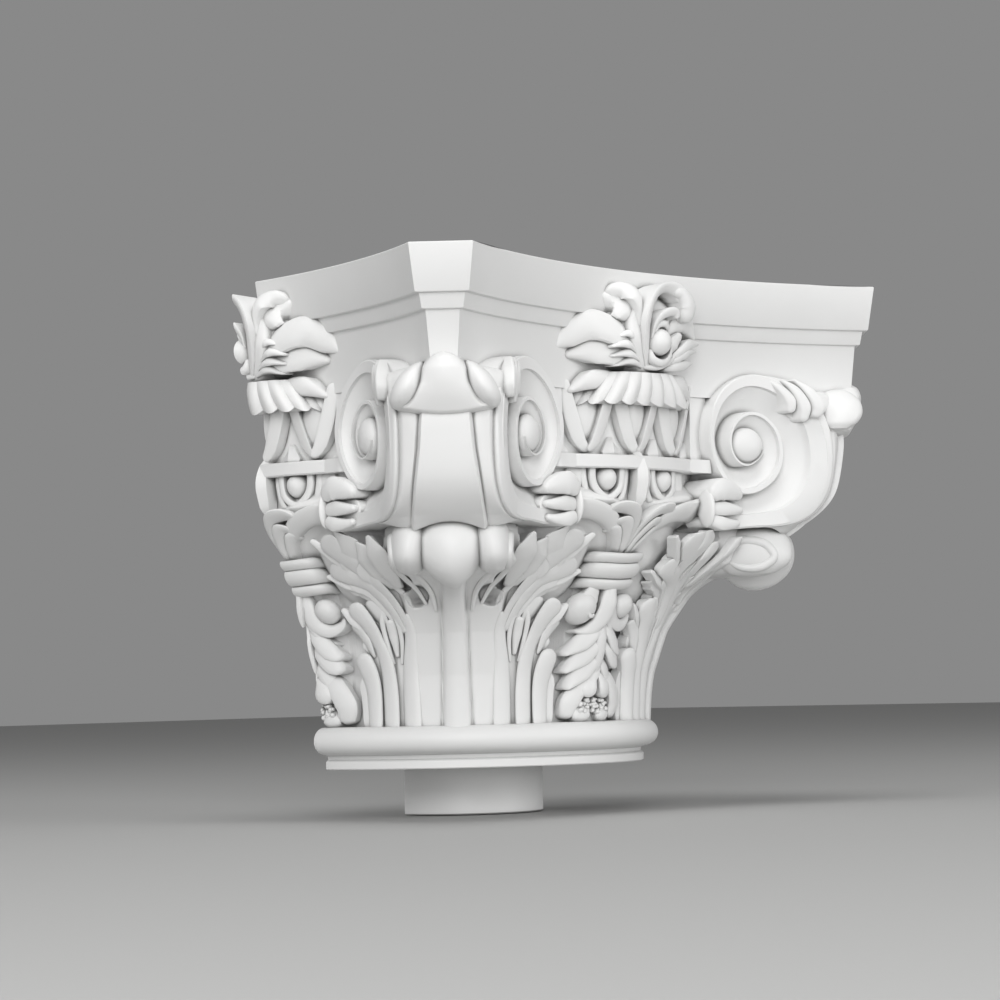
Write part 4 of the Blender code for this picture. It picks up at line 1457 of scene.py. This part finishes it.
        sag = np.where(side < 20, (side / 20) ** 2, np.clip(1 - (side - 20) / 18, 0, 1))
        height = level + (rim[:, 2:] - level) * beyond
        height -= 4.5 * sag * np.clip(1 - wound / 16.0, 0, 1)[:, None]
        front = np.stack([side, height, ahead], -1)
        front = np.concatenate([front[:, :0:-1] * [-1, 1, 1], front], axis=1)
        inward = np.array([0, 193.0, 195.0]) - front
        inward[..., 0] = 0
        thick = 2.2 + 6.8 * (1 - (side / side_rim) ** 4)
        thick = np.concatenate([thick[:, :0:-1], thick], axis=1)[..., None]
        back = front + thick * inward / np.linalg.norm(inward, axis=-1, keepdims=True)
        return rings_shell(np.concatenate([front, back[:, ::-1]], axis=1)).placed(on_corner)

    def cap(self) -> list:
        """Three-lobed leaf over the top of the front: saddle between two pear-shaped lobes.

        Returns:
            Shells in space.
        """
        s, z = np.meshgrid(np.arange(-32, 32.1, self.cap_cell), np.arange(194, 238, self.cap_cell))
        field = Relief(s, z, np.full_like(s, 200.0))
        middle = [(0, 235, 243), (0, 230, 247.5), (0, 224, 249)]
        middle += [(0, 216, 248.5), (0, 208, 246.5), (0, 199, 242)]
        width, rise = (0.6, 8.4, 12.6, 14.5, 20, 30), (3.0, 7.0, 7.6, 7.0, 6.0, 5.0)
        field.stroke(middle, width, rise, count=60)
        # the saddle's lower edge curves up towards both sides
        field.w -= 7.0 * np.maximum(199.0 + 4.5 * (s / 28.0) ** 2 - z, 0)
        for side in (-1, 1):
            crease = [(12.6, 229), (13.6, 219), (18.5, 207.5), (24, 202)]
            field.groove(sided(side, crease), 1.6, 1.6)
        field.soften(2)
        lobe = [
            (12.8, 228.4, 239.5, 0.8, 3),
            (15.0, 226, 240, 4.0, 8.5),
            (18.4, 220, 241, 7.2, 13),
            (21.4, 212.6, 241, 8.2, 14),
            (24.0, 206.6, 240, 7.0, 11.5),
            (25.8, 202.8, 239, 3.8, 6.5),
        ]
        lobes = [bulb(sided(side, lobe), (side * 26.4, 201.6, 238.6)) for side in (-1, 1)]
        return [shell.placed(on_corner) for shell in [field.plate(self.cap_floor), *lobes]]

    def shoulder(self, side: int) -> Shell:
        """Smooth top of the corner, from under the cap to under the tongues.

        Args:
            side: 1 for the half at +X of the diagonal, -1 for the other one.
        Returns:
            The shell in space.
        """
        rings, around = 40, 56
        line = [(4, 218.5, 231), (16, 218, 229), (27, 217.4, 223), (35, 216, 213)]
        path = smooth(sided(side, line), rings)
        size = spread((11.0, 10.0, 9.4, 8.6), rings)
        angle = np.linspace(0, 2 * np.pi, around, endpoint=False)
        ring = np.stack([0 * angle, 0.9 * np.cos(angle), np.sin(angle)], -1)
        return rings_shell(path[:, None] + ring[None] * size[:, None, None]).placed(on_corner)

    def tip(self) -> list:
        """Lobed end of the acanthus leaf, hanging under the front, and its curled neck.

        Returns:
            Shells in space.
        """
        middle = [(0, 144, 186, 15, 14), (0, 140, 187, 18.6, 20), (0, 132, 187.5, 20.4, 23.7)]
        middle += [(0, 122, 187.5, 19.0, 23.8), (0, 113.5, 187, 13.6, 20)]
        middle += [(0.8, 107, 186.5, 6.6, 12), (1.2, 104.2, 186, 1.6, 4)]
        neck = [(0, 143, 166, 26, 30), (0, 132, 164, 29, 33), (0, 122, 162, 28, 31)]
        neck += [(0, 115, 160, 24, 25), (0, 112.5, 158, 14, 15)]
        lobe = [
            (20, 143.5, 184, 7, 12),
            (21.6, 140, 184, 10, 19),
            (23.6, 131, 184, 11.4, 24),
            (24.4, 121, 184, 10.4, 23),
            (23.8, 114.5, 183, 6.4, 15),
            (23.4, 112.0, 182, 1.8, 6),
        ]
        curl = [(31.6, 127, 166), (33.0, 134, 176), (33.2, 132, 190), (32.6, 124, 196)]
        curl += [(32.2, 118, 188), (31.6, 118, 176), (30.6, 123, 166)]
        shells = [bulb(middle, (1.3, 103.8, 185.8)), bulb(neck, (0, 111.5, 158))]
        for side in (-1, 1):
            shells.append(bulb(sided(side, lobe), (side * 23.4, 111.6, 182)))
            shells.append(tube(sided(side, curl), (1.0, 2.6, 3.0, 3.0, 3.0, 2.6, 1.0)))
        return [shell.placed(on_corner) for shell in shells]

    def build(self) -> list:
        """Makes the four scrolls and both corners.

        Returns:
            The visible pieces.
        """
        scroll = self.scroll()
        shells = {
            "corner_front": self.front(),
            "corner_leaves": joined([*self.cap(), self.shoulder(-1), self.shoulder(1), *self.tip()]),
            "scroll_front": scroll,
            "scroll_side": scroll.placed(to_right_face),
        }
        made = []
        for name, shell in shells.items():
            made.append(self.casting.piece(f"{name}_right", shell))
            made.append(self.casting.piece(f"{name}_left", shell.placed(mirror_x)))
        return made


@dataclass
class Fleuron:
    """Curled leaf work at the middle of an abacus face, over a fluted cup."""

    casting: Casting
    flutes: int = 10
    flute_places: int = 420
    flute_depth: float = 0.085
    oval_power: float = 0.62
    cup_level: float = 231.0
    cup_fall: float = 17.0
    cup_axis: float = 146.0
    cup_half: float = 29.0
    cup_flare: float = 16.0
    cup_depth: float = 21.5
    cup_swell: float = 4.5
    scallop: float = 2.8
    leaf_rings: int = 30
    cut_in: float = 0.03

    def leaves(self) -> list:
        """Curled leaves, berry and the mass behind them.

        A row holds the curve, its half widths, rise, lean and the depth of its walls.

        Returns:
            Shells over u, v and the distance w in front of the axis.
        """
        strips = (
            # left broad leaf, the leaf under it and the upper left curl
            ([(-10, 244, 165), (-26, 254, 165), (-42, 258, 161), (-56, 251, 154), (-67, 243.5, 147)],
             (5, 9, 9.5, 7.5, 1.2), 4.0, 1.5, 16),
            ([(-5, 238.5, 163), (-22, 242, 164), (-38, 243.5, 159.5), (-55, 240.5, 151)],
             (3, 8.0, 8.4, 1.8), 3.0, 0.8, 16),
            ([(-15, 262, 166), (-20, 268, 167), (-26, 272, 162), (-30, 270, 155)],
             (5, 8.5, 8.5, 5), 3.5, 0.0, 20),
            ([(-12.2, 257, 171), (-13.4, 268, 173.5), (-17.5, 276.4, 173), (-24, 278.6, 167.5),
              (-28.4, 275, 160)],
             (2.0, 3.2, 4.8, 5.2, 3.2), 2.5, 0.6, 16),
            # feather ribs beside the stem
            ([(-10.5, 247.0, 168), (-18.6, 253.0, 170.5), (-26.4, 251.6, 168)],
             (1.2, 2.6, 0.8), 1.8, 0.6, 8),
            ([(-11.5, 242.4, 168), (-21.6, 247.0, 170.5), (-32.4, 245.0, 167)],
             (1.2, 2.8, 0.8), 1.8, 0.6, 8),
            ([(-9.4, 238.2, 168), (-20.0, 241.6, 170), (-31.4, 239.7, 166)], (1.2, 2.6, 0.8), 1.8, 0.6, 8),
            ([(-6.3, 234.2, 167), (-17.0, 237.4, 169), (-27.3, 234.4, 165)], (1.2, 2.4, 0.8), 1.8, 0.6, 8),
            # stem
            ([(3, 232, 163), (-4.5, 241, 166), (-11.5, 252, 169), (-13.5, 262, 169), (-13.8, 270, 169)],
             (9.5, 9, 7.5, 5.5, 2.0), 4.0, 0.0, 22),
            # right leaves
            ([(12.8, 233.5, 166), (20.6, 235.6, 169), (31, 237.4, 168), (41, 239.4, 164)],
             (1.6, 2.8, 3.0, 1.0), 1.8, 0.6, 14),
            ([(13.7, 236.4, 168), (21.5, 240.2, 170.5), (30, 244.2, 171), (42, 246.2, 166.5)],
             (1.4, 2.6, 2.8, 0.8), 1.8, 0.6, 14),
            ([(14.2, 254, 168), (24, 262, 170), (34, 261, 168), (42, 252.5, 164)],
             (3.0, 6.0, 5.4, 1.6), 2.5, 0.8, 22),
            ([(14.6, 239, 169), (22.4, 244.4, 172), (31, 249.4, 172), (44, 250.6, 167)],
             (1.6, 3.0, 3.4, 1.0), 1.8, 0.6, 16),
            ([(13.6, 241, 169), (16.3, 248.5, 172), (23.4, 255, 172)], (2.2, 5.0, 2.4), 2.4, 0.8, 16),
            # berry's crescent, foot and the curls over the berry
            ([(-5.3, 234.4, 167), (4.5, 234.8, 170), (13.4, 238, 171), (22.6, 244, 170)],
             (1.6, 2.2, 2.0, 0.8), 1.6, 0.4, 12),
            ([(-3.6, 245, 171), (-1.4, 238.6, 173), (5.2, 236.8, 174), (10.8, 240.6, 174),
              (14.8, 248.6, 172)],
             (1.0, 2.0, 2.2, 2.0, 0.8), 1.6, 0.6, 12),
            ([(-2.2, 252, 173), (0.6, 258.6, 175.5), (5.2, 259.8, 176.5), (9.2, 256.8, 175)],
             (1.0, 1.9, 2.1, 1.2), 1.4, 0.4, 12),
            ([(-3.4, 250.5, 173), (-2.8, 258.2, 176), (0.8, 263.8, 178), (6.0, 266.6, 179),
              (12, 267, 179), (14.4, 263.2, 178)],
             (1.2, 2.2, 2.5, 2.8, 2.6, 1.4), 1.4, 0.8, 16),
            # big curl
            ([(1.6, 232.8, 165), (-5.0, 244.8, 170.5), (-8.6, 255.5, 174.5), (-10.0, 263.8, 177.5),
              (-7.8, 271.8, 178.5), (-1.3, 278.9, 178), (7.8, 281.9, 177), (16.8, 280.2, 177),
              (22.4, 274, 177)],
             (4.5, 4.3, 3.8, 3.6, 3.4, 3.2, 3.2, 4.0, 4.4), 2.0, 1.6, 16),
            ([(13.0, 280.6, 176), (20.6, 278.4, 177), (25.2, 271.0, 177), (23.4, 261.6, 175)],
             (3.2, 4.8, 6.4, 4.8), 3.4, 0.0, 18),
        )
        shells = [
            strap(points, half, rise, lean=lean, depth=depth, count=self.leaf_rings)
            for points, half, rise, lean, depth in strips
        ]
        berry = ball((3.4, 249.3, 172), (8.0, 8.4, 8.6))
        return [*shells, berry, ball((0, 256, 150), (33, 24, 20)), ball((9, 262, 158), (20, 17, 13))]

    def cup(self) -> Shell:
        """Half bell with flutes, scalloped along its lower rim.

        Plan = cosine and sine to the power oval_power, wider towards the rim; a flute is the
        size of a sine of the length run along the plan. fall goes from 0 at the top to 1 at the
        rim.

        Returns:
            The shell over u, v and the distance w in front of the axis.
        """
        turn = np.linspace(0, 2 * np.pi, 4000)
        wide, deep = (np.sign(f) * np.abs(f) ** self.oval_power for f in (np.cos(turn), np.sin(turn)))
        run = np.concatenate([[0.0], np.cumsum(np.hypot(38 * np.diff(wide), 26 * np.diff(deep)))])
        even = np.linspace(0, 1, self.flute_places, endpoint=False)
        wide, deep = (np.interp(even, run / run[-1], f) for f in (wide, deep))
        flute = np.abs(np.sin(np.pi * even * 2 * self.flutes))
        fall = np.concatenate([[0.0, 0.0], np.linspace(0, 1, 18), [1.0, 0.97]])[:, None]
        carve = 1 - self.flute_depth * (1 - flute) * np.minimum(1.0, 0.4 + fall)
        swell = np.sin(np.pi * np.minimum(1.0, 0.2 + 0.62 * fall))
        u = (self.cup_half + self.cup_flare * fall**0.9) * carve * wide
        v = self.cup_level - self.cup_fall * fall - self.scallop * flute * fall**2
        w = (self.cup_depth + self.cup_swell * swell) * carve * deep
        # the first ring closes the top, the last one draws in under the rim
        u[0], v[0], w[0] = 0.5 * u[0], v[0] + 1.5, 0.5 * w[1]
        u, v, w = (np.concatenate([f, f[-1:] * drawn]) for f, drawn in ((u, 0.86), (v, 1.0), (w, 0.8)))
        return rings_shell(np.stack([u, v, self.cup_axis + w], -1), None, (0, 213.5, 150))

    def side_leaf(self, side: int) -> Shell:
        """Plain leaf beside the cup."""
        line = [(22, 228, 158), (38, 226, 158), (52, 219, 150)]
        return strap(sided(side, line), (4.0, 6.0, 1.4), 3.0, depth=24)

    def whole(self) -> Shell:
        """Fleuron and cup of the front face."""
        shells = [*self.leaves(), self.cup(), self.side_leaf(-1), self.side_leaf(1)]
        return joined([shell.placed(on_face) for shell in shells])

    def build(self) -> list:
        """Front fleuron whole, side ones cut at the flat back.

        Returns:
            The visible pieces.
        """
        whole = self.whole()
        made = [self.casting.piece("fleuron_front", whole)]
        for name, change in (("left", to_left_face), ("right", to_right_face)):
            half = Shell(change(whole.points), [face[::-1] for face in whole.faces])
            made.append(self.casting.half_piece(f"fleuron_{name}_half", half, self.cut_in))
        return made


@dataclass(frozen=True)
class Lamp:
    """Square soft box: where it stands and how wide it is in metres, and its power in watts."""

    name: str
    place: tuple
    size: float
    power: float

    def build(self, aim: tuple) -> None:
        """Adds the lamp to the scene, its own Z pointing away from what it shines at.

        Args:
            aim: point that it shines at.
        """
        data = bpy.data.lights.new(self.name, "AREA")
        data.size = self.size
        data.energy = self.power
        made = bpy.data.objects.new(self.name, data)
        back = np.array(self.place, float) - np.array(aim, float)
        back /= np.linalg.norm(back)
        side = np.cross([0, 0, 1], back)
        side /= np.linalg.norm(side)
        turn = Matrix([side, np.cross(back, side), back]).transposed().to_4x4()
        made.matrix_world = Matrix.Translation(self.place) @ turn
        bpy.context.scene.collection.objects.link(made)


@dataclass(frozen=True)
class FloorFinish:
    """Matt grey floor paint."""

    colour: tuple = (0.42, 0.42, 0.415, 1)
    roughness: float = 0.9

    def material(self) -> bpy.types.Material:
        """Builds the floor's material.

        Returns:
            A plain Principled material.
        """
        made = bpy.data.materials.new("floor_paint")
        made.use_nodes = True
        shader = made.node_tree.nodes["Principled BSDF"]
        shader.inputs["Base Color"].default_value = self.colour
        shader.inputs["Roughness"].default_value = self.roughness
        return made


@dataclass
class Studio:
    """Floor, soft light, grey backdrop colour and the camera of the photograph.

    Places and sizes are in metres, turns in radians; yaw turns the camera from +Y towards +X.
    """

    camera_place: tuple = (-1.355585, -1.412164, 0.047191)
    yaw: float = 0.779
    pitch: float = 0.0601
    roll: float = -0.0239
    lens: float = 112.02
    sensor: float = 36.0
    clip_start: float = 0.05
    floor_reach: float = 6.0
    floor_gap: float = 0.0005
    sky: tuple = (0.5, 0.5, 0.5, 1)
    sky_strength: float = 0.5
    aim: tuple = (0, 0, 0.15)
    lamps: tuple = (
        Lamp("key", (-1.9, -1.9, 1.2), 1.2, 20.7),
        Lamp("low", (-1.7, -1.8, 0.45), 0.95, 14.5),
        Lamp("right", (1.0, -2.5, 0.45), 0.95, 18.0),
        Lamp("left", (-2.6, -0.3, 1.2), 1.2, 12.4),
        Lamp("top", (-0.6, -0.7, 2.6), 1.2, 26.3),
    )

    def camera(self) -> None:
        """Camera at the photograph's viewing angle."""
        level = np.cos(self.pitch)
        ahead = np.array([np.sin(self.yaw) * level, np.cos(self.yaw) * level, np.sin(self.pitch)])
        right = np.array([np.cos(self.yaw), -np.sin(self.yaw), 0.0])
        up = np.cross(right, ahead)
        across = right * np.cos(self.roll) + up * np.sin(self.roll)
        above = -right * np.sin(self.roll) + up * np.cos(self.roll)
        data = bpy.data.cameras.new("camera")
        data.lens = self.lens
        data.sensor_width = self.sensor
        data.clip_start = self.clip_start
        made = bpy.data.objects.new("camera", data)
        turn = Matrix([across, above, -ahead]).transposed().to_4x4()
        made.matrix_world = Matrix.Translation(self.camera_place) @ turn
        bpy.context.scene.collection.objects.link(made)
        bpy.context.scene.camera = made

    def floor(self) -> None:
        """Plain floor under the spigot, a hair below it."""
        mesh = bpy.data.meshes.new("floor")
        reach, level = self.floor_reach, -SPIGOT_LENGTH * MM - self.floor_gap
        corners = [(x * reach, y * reach, level) for x, y in ((-1, -1), (1, -1), (1, 1), (-1, 1))]
        mesh.from_pydata(corners, [], [(0, 1, 2, 3)])
        mesh.materials.append(FloorFinish().material())
        made = bpy.data.objects.new("floor", mesh)
        bpy.context.scene.collection.objects.link(made)

    def build(self) -> None:
        """Sets up the whole studio."""
        world = bpy.data.worlds.new("studio")
        world.use_nodes = True
        world.node_tree.nodes["Background"].inputs["Color"].default_value = self.sky
        world.node_tree.nodes["Background"].inputs["Strength"].default_value = self.sky_strength
        bpy.context.scene.world = world
        bpy.context.scene.view_settings.view_transform = "Standard"
        self.floor()
        self.camera()
        for lamp in self.lamps:
            lamp.build(self.aim)


def main() -> None:
    """Builds the sub-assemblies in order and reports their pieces."""
    casting = Casting(CastingFinish().material())
    for assembly in (Body, LeafWork, EggRing, Volute, Fleuron):
        for piece in assembly(casting).build():
            log.info("%s: %d faces", piece.name, len(piece.data.polygons))
    Studio().build()
    bpy.context.view_layer.update()


if __name__ == "__main__":
    main()
